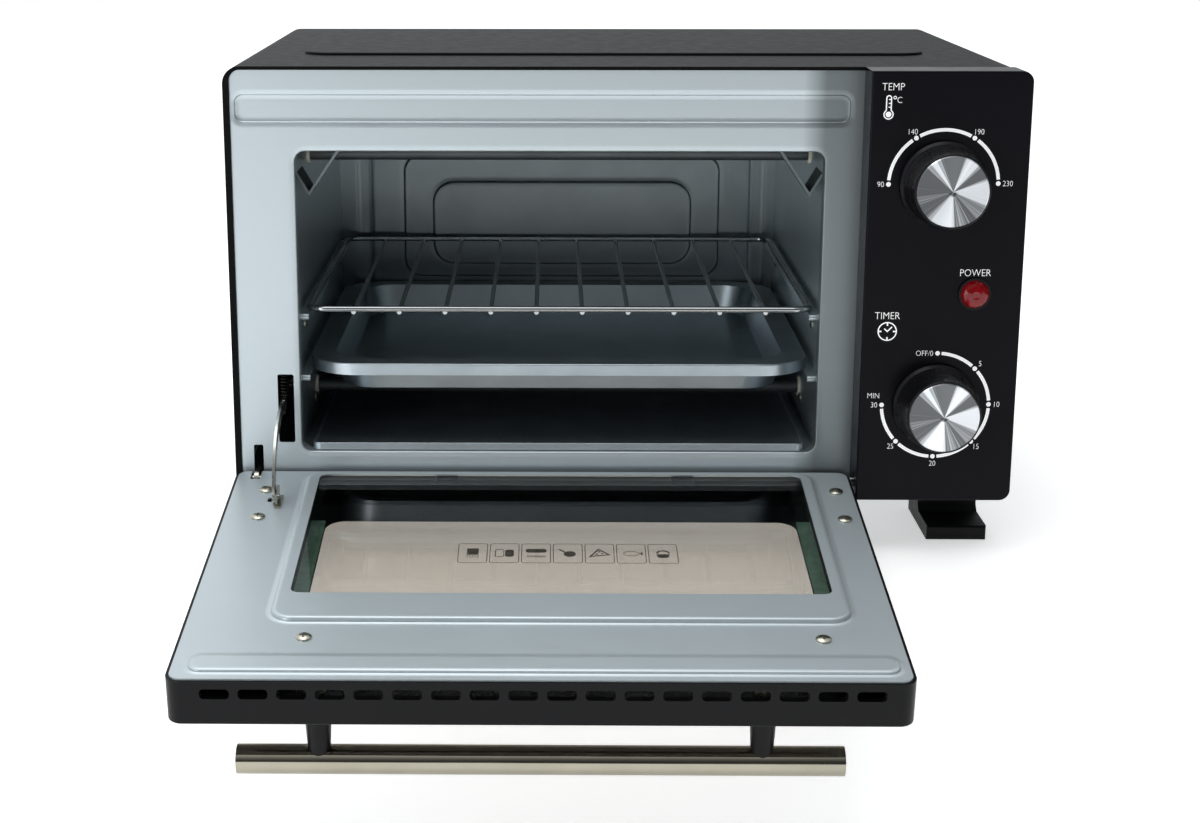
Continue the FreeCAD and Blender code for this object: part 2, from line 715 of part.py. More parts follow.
def housing_screws():
    side, back = D.half_width, REAR_FACE
    cover = [((sign * side, D.body_depth - 7, D.base + z), (sign, 0, 0))
             for sign in (-1, 1) for z in (22, 168)]
    rear = [((x, back, ROOF - 9), (0, 1, 0)) for x in (-120, 0, 120)]
    rear += [((x, back, D.base + 9), (0, 1, 0)) for x in (-150, -50, 50, 118)]
    screw_group("cover_screws", cover + rear, head=3.2, long=0.7)
    feet = [((x, y, 9), (0, 0, -1)) for x in FOOT_SCREWS_X for y in FOOT_SCREWS_Y]
    screw_group("foot_screws", feet, head=3.4, long=19)
    studs = []
    for wall, sense in ((WALL_LEFT, 1), (WALL_RIGHT, -1)):
        for y, z in ((32, 72), (50, 46), (66, 26.5), (86, 40), (186, 72), (186, 46)):
            studs.append(((wall, y, above_base(z)), (sense, 0, 0)))
    studs += [((x, 22, CEILING_Z + D.fit_gap), (0, 0, -1)) for x in (-108, 48)]
    screw_group("cavity_rivets", studs, head=2.4, long=0.7, tall=1.4, cross=False)


def feet():
    """Moulded feet: an upright neck with a toe that points outward."""
    for end, toe, sense in (("front", -2.5, 1), ("rear", D.body_depth + 2.5, -1)):
        for side in ("left", "right"):
            body = make_body(f"foot_{end}_{side}")
            inner = D.half_width - D.foot_inset - D.foot_wide
            low_x = inner if side == "right" else -(D.half_width - D.foot_inset)

            section = ((0, 0), (48, 0), (48, D.base), (25, D.base), (25, D.toe_high + 3), (22, D.toe_high),
                       (0, D.toe_high))
            profile = [(size(toe) + sense * back, high) for back, high in section]
            slab(body, "YZ", low_x, low_x + D.foot_wide, polygon(profile))
            soften(body, 1.2, lambda e: near(edge_box(e).YMin, toe) and near(edge_box(e).YMax, toe))
            y_screw = FOOT_SCREWS_Y[0] if end == "front" else FOOT_SCREWS_Y[1]
            x_screw = FOOT_SCREWS_X[1] if side == "right" else FOOT_SCREWS_X[0]
            carve(body, "XY", -1, 9, circle(x_screw, y_screw, 5))
            carve(body, "XY", 0, D.base + 1, circle(x_screw, y_screw, 1.6))
            keep(body, f"foot_{end}_{side}")


def cable_inlet():
    """The bush that the supply cable comes out of."""
    x, z, hole, back = D.inlet_x, D.inlet_z, D.inlet_hole, REAR_FACE
    collar = fuse([rod((x, back, z), 3, hole + 2.2, "Y"), rod((x, back - 5, z), 6, hole - 0.1, "Y"),
                   rod((x, back - 5, z), 4, hole + 1.2, "Y")])
    keep(cut(collar, [rod((x, back - 8, z), 14, 3.6, "Y")]), "cable_inlet")


# ---------------------------------------------------------------- control panel and controls

PANEL_FACE = -D.panel_proud
DIALS = {"temp": (D.temp_x, D.temp_z), "timer": (D.timer_x, D.timer_z)}
SHAFT_INSIDE = 14
CAP_SEAT = 1.7


def control_panel():
    """The moulded panel that stands forward of the front frame, flush with the closed door."""
    body = make_body("control_panel")
    left, right = from_left(D.panel_left), D.half_width
    slab(body, "XZ", PANEL_FACE, 0, rectangle(left, D.base, right, ROOF, 5, (0, 1, 1, 0)))
    soften(body, 0.8, lambda e: flat_at(e, "Y", PANEL_FACE))
    wall = D.panel_wall
    carve(body, "XZ", PANEL_FACE + wall, 1,
          rectangle(left + wall, D.base + wall, right - wall, ROOF - wall, 3, (0, 1, 1, 0)))
    for x, z in DIALS.values():
        carve(body, "XZ", PANEL_FACE - 1, PANEL_FACE + 5,
              circle(from_left(x), above_base(z), D.shaft_size + 0.6))
    carve(body, "XZ", PANEL_FACE - 1, PANEL_FACE + 5,
          circle(from_left(D.lamp_x), above_base(D.lamp_z), D.lamp_size - 0.5))
    carve(body, "YZ", left - 1, left + wall + 1, circle(D.hinge_y, D.hinge_z, D.pin_size + 0.05))
    return keep(body, "control_panel")


def turned_part(name, x, z, profile):
    """A turned piece on an axis that runs along -Y: profile points are radius and distance from the panel."""
    body = make_body(name)
    spin(body, "XY", [(radius, -distance) for radius, distance in profile])
    body.Label = name
    place(body, (from_left(x), PANEL_FACE, above_base(z)))
    return body


def knob(name, x, z):
    """A knob: moulded skirt and grip, spun metal cap, and the flatted shaft it is pushed onto."""
    grip, top, bore = D.knob_radius, D.knob_height, D.shaft_size + 0.05
    skirt = turned_part(f"{name}_knob", x, z, [
        (bore, 0.8), (D.knob_skirt - 1, 0.8), (D.knob_skirt, 1.6), (D.knob_skirt, 2.8),
        (D.knob_skirt - 1.2, 4.0), (grip + 0.9, 7.0), (grip + 0.3, 12.0), (grip, top - 1.2),
        (grip - 0.4, top - 0.8), (grip - 0.8, top - 0.8), (grip - 0.8, top - 1.6), (bore, top - 1.6)])
    keep(skirt, f"{name}_knob")
    cap = turned_part(f"{name}_knob_cap", x, z, [
        (0, top - 1.6), (grip - 0.9, top - 1.6), (grip - 0.9, top - 0.5), (grip - 1.3, top), (0, top - 0.35)])
    keep(cap, f"{name}_knob_cap")
    shaft = rod((from_left(x), PANEL_FACE - top + CAP_SEAT, above_base(z)), top + SHAFT_INSIDE,
                D.shaft_size, "Y")
    flat = box((from_left(x) - 4, PANEL_FACE - top, above_base(z) + D.shaft_size - 0.9),
               (from_left(x) + 4, PANEL_FACE - 1, above_base(z) + 6))
    keep(cut(shaft, [flat]), f"{name}_shaft")


def controls():
    """What stands behind the panel: thermostat, timer with its bell, and the neon lamp."""
    for name, (x, z) in DIALS.items():
        knob(name, x, z)
    shaft_end = PANEL_FACE + SHAFT_INSIDE + CAP_SEAT
    x, z = from_left(D.temp_x), above_base(D.temp_z)
    body = fuse([box((x - 17, 2, z - 12), (x + 17, 22, z + 12)),
                 box((x - 10, 22, z - 8), (x + 10, 28, z + 8)),
                 rod((x, shaft_end + 0.2, z), 6, 5, "Y")])
    keep(body, "thermostat")
    x, z = from_left(D.timer_x), above_base(D.timer_z)
    works = fuse([rod((x, 2, z), 26, 19, "Y"), rod((x, shaft_end + 0.2, z), 6, 5, "Y"),
                  rod((x, 28, z), 4, 2, "Y")])
    keep(works, "timer_works")
    bell = cut(rod((x, 32.1, z), 9, 17, "Y"), [rod((x, 31, z), 9, 16, "Y")])
    keep(bell, "timer_bell")
    x, z = from_left(D.lamp_x), above_base(D.lamp_z)
    bezel = cut(rod((x, PANEL_FACE - 1.6, z), 1.6, D.lamp_size + 1.3, "Y"),
                [rod((x, PANEL_FACE - 3, z), 6, D.lamp_size - 0.5, "Y")])
    keep(bezel, "lamp_bezel")
    lens = turned_part("lamp_lens", D.lamp_x, D.lamp_z, [
        (0, -4), (D.lamp_size - 0.6, -4), (D.lamp_size - 0.6, 2.0), (4.2, 3.6), (2.2, 4.4), (0, 4.7)])
    keep(lens, "lamp_lens")
    holder = rod((x, PANEL_FACE + 4.1, z), 26, 5.2, "Y")
    keep(holder, "lamp_holder")
    x_low = from_left(300)
    block = box((x_low, 150, D.base + 30), (x_low + 14, 190, D.base + 44), "terminals")
    posts = [rod((x_low + 7, 156 + 9 * n, D.base + 43), 4, 2.6, "Z") for n in range(4)]
    keep(fuse([block] + posts), "terminal_block")


# ---------------------------------------------------------------- door, drawn about its hinge axis
#
# Here Y = 0, Z = 0 is the hinge axis, -Y runs up the door and +Z is the side that faces the oven when shut.

INNER = D.door_skin
OUTER = D.door_skin - D.door_thick
DOOR_LEFT = from_left(D.door_left)
DOOR_RIGHT = from_left(D.door_right)
DOOR_MIDDLE = (D.door_left + D.door_right) * 0.5 - D.half_width
POSTS = (DOOR_MIDDLE - D.post_half, DOOR_MIDDLE + D.post_half)
LINK_HOOK_Z = D.door_skin + 3.4
LINK_HOOK_Y = D.link_radius.leg(LINK_HOOK_Z)


def up_door(distance):
    """Place along the door, from its lower edge."""
    return D.door_edge - distance


def door_field(left, low, right, high, *more):
    """A rectangle on the door's face: across from the left, up from the lower edge."""
    return rectangle(left, up_door(high), right, up_door(low), *more)


NOTCH = (from_left(8.3), from_left(12.9))


def hinge_notch(body, low):
    carve(body, "XY", low, INNER + 3, rectangle(NOTCH[0], -7, NOTCH[1], D.door_edge + 1))


def door_frame():
    """The black frame: four walls, a seat for the outer glass and a row of slots in the upper edge."""
    body = make_body("door_frame")
    top = INNER - D.plate
    left, right, wall = DOOR_LEFT, DOOR_RIGHT, D.door_wall
    seat = OUTER + 4
    slab(body, "XY", OUTER, top, door_field(left, 0, right, D.door_tall, D.door_corner))
    soften(body, 0.7, lambda e: flat_at(e, "Z", OUTER))
    carve(body, "XY", seat + 2, top + 1,
          door_field(left + wall, wall, right - wall, D.door_tall - wall, D.door_corner - wall))
    carve(body, "XY", seat - 1, seat + 3, door_field(left + 9, 9, right - 9, D.door_tall - 9, 3))
    carve(body, "XY", OUTER - 1, seat,
          door_field(left + 1.2, 1.2, right - 1.2, D.door_tall - 1.2, D.door_corner - 1.2))
    first = from_left(14.6)
    slot_top = INNER - 3.9
    slot = carve(body, "XZ", up_door(D.door_tall + 1), up_door(D.door_tall - wall - 1),
                 rectangle(first, slot_top - D.vent_height, first + D.vent_length, slot_top, 1.6))
    repeat(body, slot, "X_Axis", D.vent_count, D.vent_pitch)
    hinge_notch(body, seat + 2)
    for low_x, high_x in ((left - 1, left + 15), (right - wall - 2, right + 1)):
        carve(body, "YZ", low_x, high_x, circle(0, 0, D.pin_size + 0.06))
    return keep(body, "door_frame", door=True)


RING = (35, 3.6, 270, 146)


def door_panel():
    """The zinc-coated inner skin: a raised field round the window, a pressed bar above and a hinge notch."""
    body = make_body("door_panel")
    low, high = INNER - D.plate, INNER
    slab(body, "XY", low, high,
         door_field(DOOR_LEFT + 1.4, 1.4, DOOR_RIGHT - 1.4, D.door_tall - 1.4, D.door_corner - 1.4))
    ring_left, ring_low, ring_right, ring_high = RING
    left, right = from_left(ring_left), from_left(ring_right)
    raised = INNER + D.ring_rise
    slab(body, "XY", high - 0.1, raised, door_field(left, ring_low, right, ring_high, 9))
    soften(body, 1.4, lambda e: near(edge_box(e).ZMin, raised))
    carve(body, "XY", low - 1, raised - D.plate,
          door_field(left + D.plate, ring_low + D.plate, right - D.plate, ring_high - D.plate, 8))
    carve(body, "XY", low - 1, raised + 1,
          door_field(from_left(D.window_left), D.window_low, from_left(D.window_right), D.window_high, 4))
    bar = (from_left(8.8), 172.9, from_left(282.7), 185.8)
    slab(body, "XY", high - 0.1, high + 0.9, door_field(*bar, 5))
    soften(body, 0.7, lambda e: flat_at(e, "Z", high + 0.9))
    hinge_notch(body, low - 1)
    carve(body, "XY", low - 1, high + 1, door_field(from_left(19.6), 30.4, from_left(25.6), 34.8, 0.8))
    return keep(body, "door_panel", door=True)


def door_glasses():
    """The full-width outer pane and the smaller pane behind the window."""
    outer = make_body("outer_glass")
    gap = 1.4
    slab(outer, "XY", OUTER + 0.1, OUTER + 3.9,
         door_field(DOOR_LEFT + gap, gap, DOOR_RIGHT - gap, D.door_tall - gap, D.door_corner - gap))
    for x in POSTS:
        carve(outer, "XY", OUTER - 1, OUTER + 5, circle(x, up_door(D.handle_up), 3))
    soften(outer, 0.5, lambda e: flat_at(e, "Z", OUTER + 0.1))
    keep(outer, "outer_glass", door=True)
    inner = make_body("inner_glass")
    top = INNER + D.ring_rise - D.plate - 0.1
    slab(inner, "XY", top - D.glass, top, door_field(from_left(37), 5.4, from_left(268.2), 128, 7))
    keep(inner, "inner_glass", door=True)
    clips = []
    under = top - D.glass
    for x, low, high in ((70, 124, 141), (235, 124, 141), (95, 4.6, 14), (205, 4.6, 14)):
        start = from_left(x)
        clips.append(box((start, up_door(high), under - 1.2), (start + 10, up_door(low), under - 0.1)))
    keep(group(clips), "glass_clips", door=True)


def handle():
    """A straight tube with closed ends on two tapered posts, screwed from inside the door."""
    y, z = up_door(D.handle_up), INNER - D.handle_reach
    start = DOOR_MIDDLE - D.handle_half
    tube = cut(rod((start, y, z), D.handle_half * 2, D.handle_size),
               [rod((start - 1, y, z), D.handle_half * 2 + 2, D.handle_size - 0.9)])
    keep(tube, "handle_tube", door=True)
    caps = []
    for x, sense in ((start, 1), (start + D.handle_half * 2, -1)):
        low = x + 0.3 if sense > 0 else x - 3.3
        caps.append(rod((low, y, z), 3, D.handle_size - 0.95))
    keep(group(caps), "handle_end_caps", door=True)
    foot = OUTER - 0.05
    for name, x in zip(("handle_post_left", "handle_post_right"), POSTS):
        stem = cone((x, y, z + 1), foot - z - 1, 4.3, 5.6, "Z")
        saddle = rod((x - 10, y, z), 20, D.handle_size + 0.05)
        hole = rod((x, y, foot - 12), 13, 1.65, "Z")
        keep(cut(stem, [saddle, hole]), name, door=True)
    spots = [((x, y, OUTER + 3.95), (0, 0, 1)) for x in POSTS]
    screw_group("handle_screws", spots, door=True, head=3.6, long=14)


def door_fixings():
    """Screws through the inner skin, and the bracket that the link hooks onto."""
    spots = [(17.4, 22.3), (17.6, 50.7), (50.8, 158.9), (279.2, 22.6), (279.3, 51.4), (255.9, 159.2)]
    screw_group("door_screws", [((from_left(x), up_door(t), INNER), (0, 0, 1)) for x, t in spots],
                door=True, head=3.1, long=0.7, tall=1.5)
    x = from_left(D.link_left)
    tab = cut(box((x + 0.65, up_door(40.4), INNER + 0.1), (x + 1.85, up_door(30.4), INNER + 6.4)),
              [rod((x, -LINK_HOOK_Y, LINK_HOOK_Z), 3, 1.25)])
    foot = box((x + 0.65, up_door(42), INNER), (x + 3.4, up_door(29.4), INNER + 0.9))
    keep(fuse([tab, foot]), "link_bracket", door=True)


def door_link():
    """The curved strip that runs from the door into the slot, bent on a circle about the hinge axis."""
    centre_y, centre_z = D.hinge_y.value, D.hinge_z.value
    middle, half, thick = D.link_radius.value, 2.6, 1.2
    tilt = math.radians(D.droop.value)
    hook = math.atan2(LINK_HOOK_Z.value, LINK_HOOK_Y.value) - tilt
    end = math.radians(104)
    low_x = from_left(D.link_left).value - thick / 2

    def ring_point(radius, angle):
        return Vector(low_x, centre_y - radius * math.cos(angle), centre_z + radius * math.sin(angle))

    def arc(radius, start, stop):
        return Part.Arc(*[ring_point(radius, turn) for turn in (start, (start + stop) / 2, stop)]).toShape()

    corners = [(middle + half, hook), (middle + half, end), (middle - half, end), (middle - half, hook)]
    points = [ring_point(*corner) for corner in corners]
    edges = [arc(middle + half, hook, end), Part.LineSegment(points[1], points[2]).toShape(),
             arc(middle - half, end, hook), Part.LineSegment(points[3], points[0]).toShape()]
    strip = Part.Face(Part.Wire(edges)).extrude(Vector(thick, 0, 0))
    across = Vector(1, 0, 0)
    hook_at = ring_point(middle, hook)
    strip = strip.fuse(Part.makeCylinder(half + 0.6, thick, hook_at, across))
    stop_at = ring_point(middle, end)
    strip = strip.fuse(Part.makeCylinder(half + 1.6, thick, stop_at, across))
    peg = Part.makeCylinder(1.1, 3.0, hook_at, across)
    hole = Part.makeCylinder(1.2, thick + 2, stop_at - across, across)
    keep(shaped(strip.fuse(peg).cut(hole).removeSplitter()), "door_link")
    return stop_at


def link_spring(stop_at):
    """The tension spring that hangs the link's inner end from a post in the left-hand compartment."""
    wire, radius, turns = 0.5, 1.9, 16
    low, high = stop_at.z + 5.4, stop_at.z + 52
    spot = Vector(stop_at.x + 0.6, stop_at.y, low)
    helix = Part.makeHelix((high - low) / turns, high - low, radius)
    start = Part.Wire(Part.makeCircle(wire, Vector(radius, 0, 0), Vector(0, 1, 0)))
    coil = Part.Wire(helix).makePipeShell([start], True, True)
    coil.translate(spot)
    keep(shaped(coil), "link_spring")
    x, y = stop_at.x - 3, stop_at.y
    post = box((x - 12, y - 1.6, high + 0.6), (WALL_LEFT - D.plate - 0.2, y + 9, high + 1.8), "post")
    keep(post, "spring_post")


def hinges():
    """The left hinge tab, which passes through its slot in the front frame, and both hinge pins."""
    tab_x = from_left(9.6)
    eye = rod((tab_x, D.hinge_y, D.hinge_z), 2, 3.6)
    arm = box((tab_x, D.hinge_y, D.hinge_z - 2.4), (tab_x + 2, 16, D.hinge_z + 3.4))
    foot = box((tab_x - 6, 4, D.base + D.plate + 0.05), (tab_x + 2, 16, D.base + D.plate + 1.85))
    web = box((tab_x, 4, D.base + D.plate + 0.05), (tab_x + 2, 16, D.hinge_z))
    hole = rod((tab_x - 1, D.hinge_y, D.hinge_z), 4, D.pin_size + 0.02)
    keep(cut(fuse([eye, arm, foot, web]), [hole]), "hinge_tab")
    left = rod((DOOR_LEFT + 0.4, D.hinge_y, D.hinge_z), 13.4, D.pin_size)
    right_start = DOOR_RIGHT - D.door_wall - 1.2
    right_end = from_left(D.panel_left) + D.panel_wall + 2
    right = rod((right_start, D.hinge_y, D.hinge_z), right_end - right_start, D.pin_size)
    keep(group([left, right]), "hinge_pins")


# ---------------------------------------------------------------- rack and trays


def wire_rack():
    """A wire rack: one bent frame wire with cross wires welded under it."""
    left, right = from_left(D.rack_left).value, from_left(D.rack_right).value
    front, back, z = D.rack_front.value, D.rack_back.value, above_base(D.rack_z).value
    wire, bend = D.rack_wire.value, 8.0
    corners = [(left, front), (right, front), (right, back), (left, back)]
    path = []
    count = len(corners)
    for number, corner in enumerate(corners):
        here = Vector(*corner, z)
        before = Vector(*corners[number - 1], z)
        after = Vector(*corners[(number + 1) % count], z)
        enter = here + (before - here).normalize() * bend
        leave = here + (after - here).normalize() * bend
        inside = enter + leave - here
        path.append(Part.Arc(enter, inside + (here - inside).normalize() * bend, leave).toShape())
        following = after + (here - after).normalize() * bend
        path.append(Part.LineSegment(leave, following).toShape())
    start = path[1].Vertexes[0].Point
    section = Part.Wire(Part.makeCircle(wire, start, Vector(1, 0, 0)))
    ordered = Part.Wire(path[1:] + path[:1])
    frame = ordered.makePipeShell([section], True, False)
    rods = []
    first = (left + right - (D.rack_rods.value - 1) * D.rack_pitch.value) / 2
    past, drop = 1.2, 1.2
    for number in range(int(D.rack_rods.value)):
        spot = Vector(first + number * D.rack_pitch.value, front - past, z - drop)
        rods.append(Part.makeCylinder(D.rack_rod.value, back - front + 2 * past, spot, Vector(0, 1, 0)))
    keep(shaped(frame.fuse(rods).removeSplitter()), "wire_rack")


def rounded_wire(left, front, right, back, radius, z):
    """A closed rounded rectangle at one height."""
    edges = []
    corners = [(left, front, math.pi), (right, front, 1.5 * math.pi), (right, back, 0),
               (left, back, 0.5 * math.pi)]
    inward = [(1, 1), (-1, 1), (-1, -1), (1, -1)]
    ends = []
    for (x, y, start), (dx, dy) in zip(corners, inward):
        middle = Vector(x + dx * radius, y + dy * radius, z)
        turns = [start, start + math.pi / 4, start + math.pi / 2]
        ends.append([middle + Vector(radius * math.cos(turn), radius * math.sin(turn), 0) for turn in turns])
    for number, (begin, halfway, finish) in enumerate(ends):
        edges.append(Part.Arc(begin, halfway, finish).toShape())
        edges.append(Part.LineSegment(finish, ends[(number + 1) % 4][0]).toShape())
    return Part.Wire(edges)


def baking_tray():
    """A pressed tray with sloping walls, a flat rim and a turned-down edge."""
    left, right = from_left(D.tray_left).value, from_left(D.tray_right).value
    front, back = D.tray_front.value, D.tray_back.value
    rim, deep, wall = above_base(D.tray_rim).value, D.tray_deep.value, D.plate.value
    flange, hem, corner, slope = 11.0, 5.6, 24.0, 4.0

    def shell(inset, low, high, drop):
        top = rounded_wire(left + flange + inset, front + flange + inset, right - flange - inset,
                           back - flange - inset, corner - 6 - inset, high)
        bottom = rounded_wire(left + flange + slope + inset, front + flange + slope + inset,
                              right - flange - slope - inset, back - flange - slope - inset,
                              corner - 8 - inset, low - drop)
        return Part.makeLoft([bottom, top], True, True)

    bowl = shell(-wall, rim - deep, rim - 0.05, 0)
    plate = Part.Face(rounded_wire(left, front, right, back, corner, rim - wall)).extrude(Vector(0, 0, wall))
    edge = Part.Face(rounded_wire(left, front, right, back, corner, rim - hem)).extrude(Vector(0, 0, hem))
    within = rounded_wire(left + wall, front + wall, right - wall, back - wall, corner - wall, rim - hem - 1)
    edge = edge.cut(Part.Face(within).extrude(Vector(0, 0, hem + 1 - wall)))
    hollow = shell(0, rim - deep + wall, rim + 1, 0)
    outer_edges = edge.fuse([plate, bowl]).cut(hollow)
    tray = outer_edges.removeSplitter()
    rounds = [e for e in tray.Edges if flat_at(e, "Z", rim) and on_rim(e, left, front, right, back)]
    keep(shaped(tray.makeFillet(wall * 0.9, rounds)), "baking_tray")


def on_rim(edge, left, front, right, back):
    bounds = edge_box(edge)
    return any((near(bounds.XMin, left), near(bounds.XMax, right), near(bounds.YMin, front),
                near(bounds.YMax, back)))


def crumb_tray():
    """A thin tray on the cavity's floor with low turned-up sides."""
    body = make_body("crumb_tray")
    low = above_base(D.crumb_z)
    left, right, front, back = from_left(36.2), from_left(267.8), 2.6, D.cavity_depth - 3
    slab(body, "XY", low, low + 3.4, rectangle(left, front, right, back, 4))
    carve(body, "XY", low + D.plate, low + 5,
          rectangle(left + D.plate, front + D.plate, right - D.plate, back - D.plate, 3.2))
    soften(body, 0.3, lambda e: near(edge_box(e).ZMin, low + 3.4))
    return keep(body, "crumb_tray")


# ---------------------------------------------------------------- build, check and write


def build():
    outer_cover()
    rear_panel()
    base_plate()
    front_frame()
    cavity_side("cavity_left", WALL_LEFT, -1)
    cavity_side("cavity_right", WALL_RIGHT, 1)
    cavity_back()
    cavity_plates()
    heaters()
    heater_brackets()
    housing_screws()
    feet()
    cable_inlet()
    control_panel()
    controls()
    door_frame()
    door_panel()
    door_glasses()
    handle()
    door_fixings()
    link_spring(door_link())
    hinges()
    wire_rack()
    baking_tray()
    crumb_tray()


def check():
    """Stop before writing anything if a feature failed or a sub-part isn't a sound solid."""
    DOC.recompute()
    failed = [f"{thing.Label} {thing.State}" for thing in DOC.Objects
              if "Invalid" in thing.State or "Error" in thing.State]
    for thing in SUBPARTS:
        shape = thing.Shape
        if shape.isNull() or not shape.isValid() or not shape.Solids:
            failed.append(f"{thing.Label}: no sound shape")
    if failed:
        raise RuntimeError("; ".join(failed))


def write():
    os.makedirs("parts", exist_ok=True)
    for thing in SUBPARTS:
        thing.Shape.exportStep(f"parts/{thing.Label}.step")


build()
check()
write()
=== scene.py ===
import json
import math

import bmesh
import bpy
from mathutils import Matrix, Vector


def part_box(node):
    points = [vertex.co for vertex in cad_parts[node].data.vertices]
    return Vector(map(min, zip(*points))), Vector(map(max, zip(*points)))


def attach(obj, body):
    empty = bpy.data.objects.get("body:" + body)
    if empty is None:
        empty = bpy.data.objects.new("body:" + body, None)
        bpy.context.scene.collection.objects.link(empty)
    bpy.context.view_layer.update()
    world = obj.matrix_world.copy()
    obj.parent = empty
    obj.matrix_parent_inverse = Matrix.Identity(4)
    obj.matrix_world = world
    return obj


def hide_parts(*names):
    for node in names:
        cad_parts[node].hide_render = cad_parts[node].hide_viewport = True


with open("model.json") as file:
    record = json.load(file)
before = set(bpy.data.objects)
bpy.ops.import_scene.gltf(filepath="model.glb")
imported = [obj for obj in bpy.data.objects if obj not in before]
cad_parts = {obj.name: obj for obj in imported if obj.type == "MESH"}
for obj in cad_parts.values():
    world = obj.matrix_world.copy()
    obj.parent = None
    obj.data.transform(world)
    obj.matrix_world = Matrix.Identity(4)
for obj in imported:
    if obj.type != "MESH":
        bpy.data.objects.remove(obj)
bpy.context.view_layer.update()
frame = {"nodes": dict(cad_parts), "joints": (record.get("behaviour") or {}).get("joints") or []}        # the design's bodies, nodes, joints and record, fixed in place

bl_info = {
    "name": "Toaster oven",
    "version": (1, 0, 0),
    "blender": (4, 5, 0),
    "location": "3D View > Sidebar > Oven",
    "description": "Finishes, prints and small fittings of a bench-top toaster oven",
    "category": "Object",
}

MM = 0.001
NODES = frame["nodes"]
JOINTS = {joint["name"]: joint for joint in frame["joints"]}
HINGE = Vector(JOINTS["door_hinge"]["pos_m"])
DROOP = math.radians(JOINTS["door_hinge"]["range_deg"][1] - 90)
SMOOTH_UNDER = math.radians(35)
EPSILON = 0.01 * MM

# Pressed fields: left, low, right, high, corner radius, width of the shoulder and rise, in millimetres.
FRONT_PRESSINGS = ((-175.1, 196.6, 103.1, 209.4, 4, 5, -0.6), (-148.5, 41.9, 92.4, 183.6, 6, 6, -0.5))
DOOR_PRESSINGS = ((-145, -143, 90, -0.6, 9, 5, 1.1), (-171.2, -182.8, 102.7, -169.9, 5, 5, 1.0))
BACK_PRESSINGS = ((-114, 85, 62.5, 154.5, 10, 6, -0.5), (-97.7, 92.5, 46.7, 139.5, 12, 6, -0.6),
                  (-139.6, 47, -132, 183, 2, 4, -0.5), (79.6, 47, 87.2, 183, 2, 4, -0.5))


# ---------------------------------------------------------------- places taken from the frame

def middle(node):
    """The middle of a node's box."""
    low, high = (Vector(corner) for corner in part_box(node))
    return (low + high) / 2


def on_door(lift=0.0):
    """Where the door's plane stands: x to the right, y towards the hinge, z out of its inner face.
    The origin is on the hinge's axis, raised by lift."""
    return Matrix.Translation(HINGE) @ Matrix.Rotation(DROOP, 4, "X") @ Matrix.Translation((0, 0, lift))


def upright(x, y, z):
    """A plane facing the cook at that place: its own x to the right and y up."""
    return Matrix.Translation((x, y, z)) @ Matrix.Rotation(math.pi / 2, 4, "X")


def upright_sheet():
    """The plane of an upright sheet: x to the right and y upwards, from the frame's origin."""
    return Matrix.Rotation(math.pi / 2, 4, "X")


def door_levels(node):
    """The lowest and highest level of a door node above the hinge's axis, square to the door."""
    flat = on_door().inverted()
    levels = [(flat @ vertex.co).z for vertex in NODES[node].data.vertices]
    return min(levels), max(levels)


# ---------------------------------------------------------------- node trees

def srgb(code):
    """'#rrggbb' as the linear colour that sockets and properties take."""
    channels = [int(code[i:i + 2], 16) / 255 for i in (1, 3, 5)]
    return (*(c / 12.92 if c <= 0.04045 else ((c + 0.055) / 1.055) ** 2.4 for c in channels), 1.0)


def add_node(tree, kind, values=None, links=None, **settings):
    """One node: settings are its properties, values its constants and links the outputs that it reads."""
    node = tree.nodes.new(kind)
    for name, value in settings.items():
        setattr(node, name, value)
    for socket, value in (values or {}).items():
        node.inputs[socket].default_value = value
    for socket, source in (links or {}).items():
        tree.links.new(source, node.inputs[socket])
    return node


def new_finish(name, **constants):
    """A material of that name with one Principled shader, whose constants are set on its own sockets."""
    material = bpy.data.materials.new(name)
    material.use_nodes = True
    tree = material.node_tree
    tree.nodes.clear()
    values = {socket.replace("_", " "): value for socket, value in constants.items()}
    shader = add_node(tree, "ShaderNodeBsdfPrincipled", values)
    add_node(tree, "ShaderNodeOutputMaterial", links={"Surface": shader.outputs[0]})
    return material, tree, shader


def mottle(tree, size, detail=2.0, stretch=(1, 1, 1), centre=(0, 0, 0)):
    """A cloudy pattern from 0 to 1 whose patches are about size across, drawn out by stretch."""
    place = add_node(tree, "ShaderNodeTexCoord")
    scale = [1 / (size * factor) for factor in stretch]
    shift = [-c * f for c, f in zip(centre, scale)]
    turned = add_node(tree, "ShaderNodeMapping", {"Scale": scale, "Location": shift},
                      {"Vector": place.outputs["Object"]})
    cloud = add_node(tree, "ShaderNodeTexNoise", {"Scale": 1.0, "Detail": detail, "Roughness": 0.55},
                     {"Vector": turned.outputs[0]})
    return cloud.outputs["Fac"]


def spread(tree, shader, socket, pattern, low, high):
    """The pattern drives a number of the shader between low and high."""
    span = add_node(tree, "ShaderNodeMapRange",
                    {"From Min": 0.3, "From Max": 0.7, "To Min": low, "To Max": high}, {"Value": pattern})
    tree.links.new(span.outputs[0], shader.inputs[socket])


def tint(tree, shader, pattern, dark, light):
    """The pattern moves the shader's colour between two shades."""
    ramp = add_node(tree, "ShaderNodeValToRGB", links={"Fac": pattern})
    ramp.color_ramp.elements[0].position = 0.3
    ramp.color_ramp.elements[1].position = 0.7
    ramp.color_ramp.elements[0].color = dark
    ramp.color_ramp.elements[1].color = light
    tree.links.new(ramp.outputs["Color"], shader.inputs["Base Color"])


def emboss(tree, shader, height, depth, strength=1.0):
    """The pattern stands out of the surface by depth."""
    bump = add_node(tree, "ShaderNodeBump", {"Distance": depth, "Strength": strength}, {"Height": height})
    tree.links.new(bump.outputs[0], shader.inputs["Normal"])


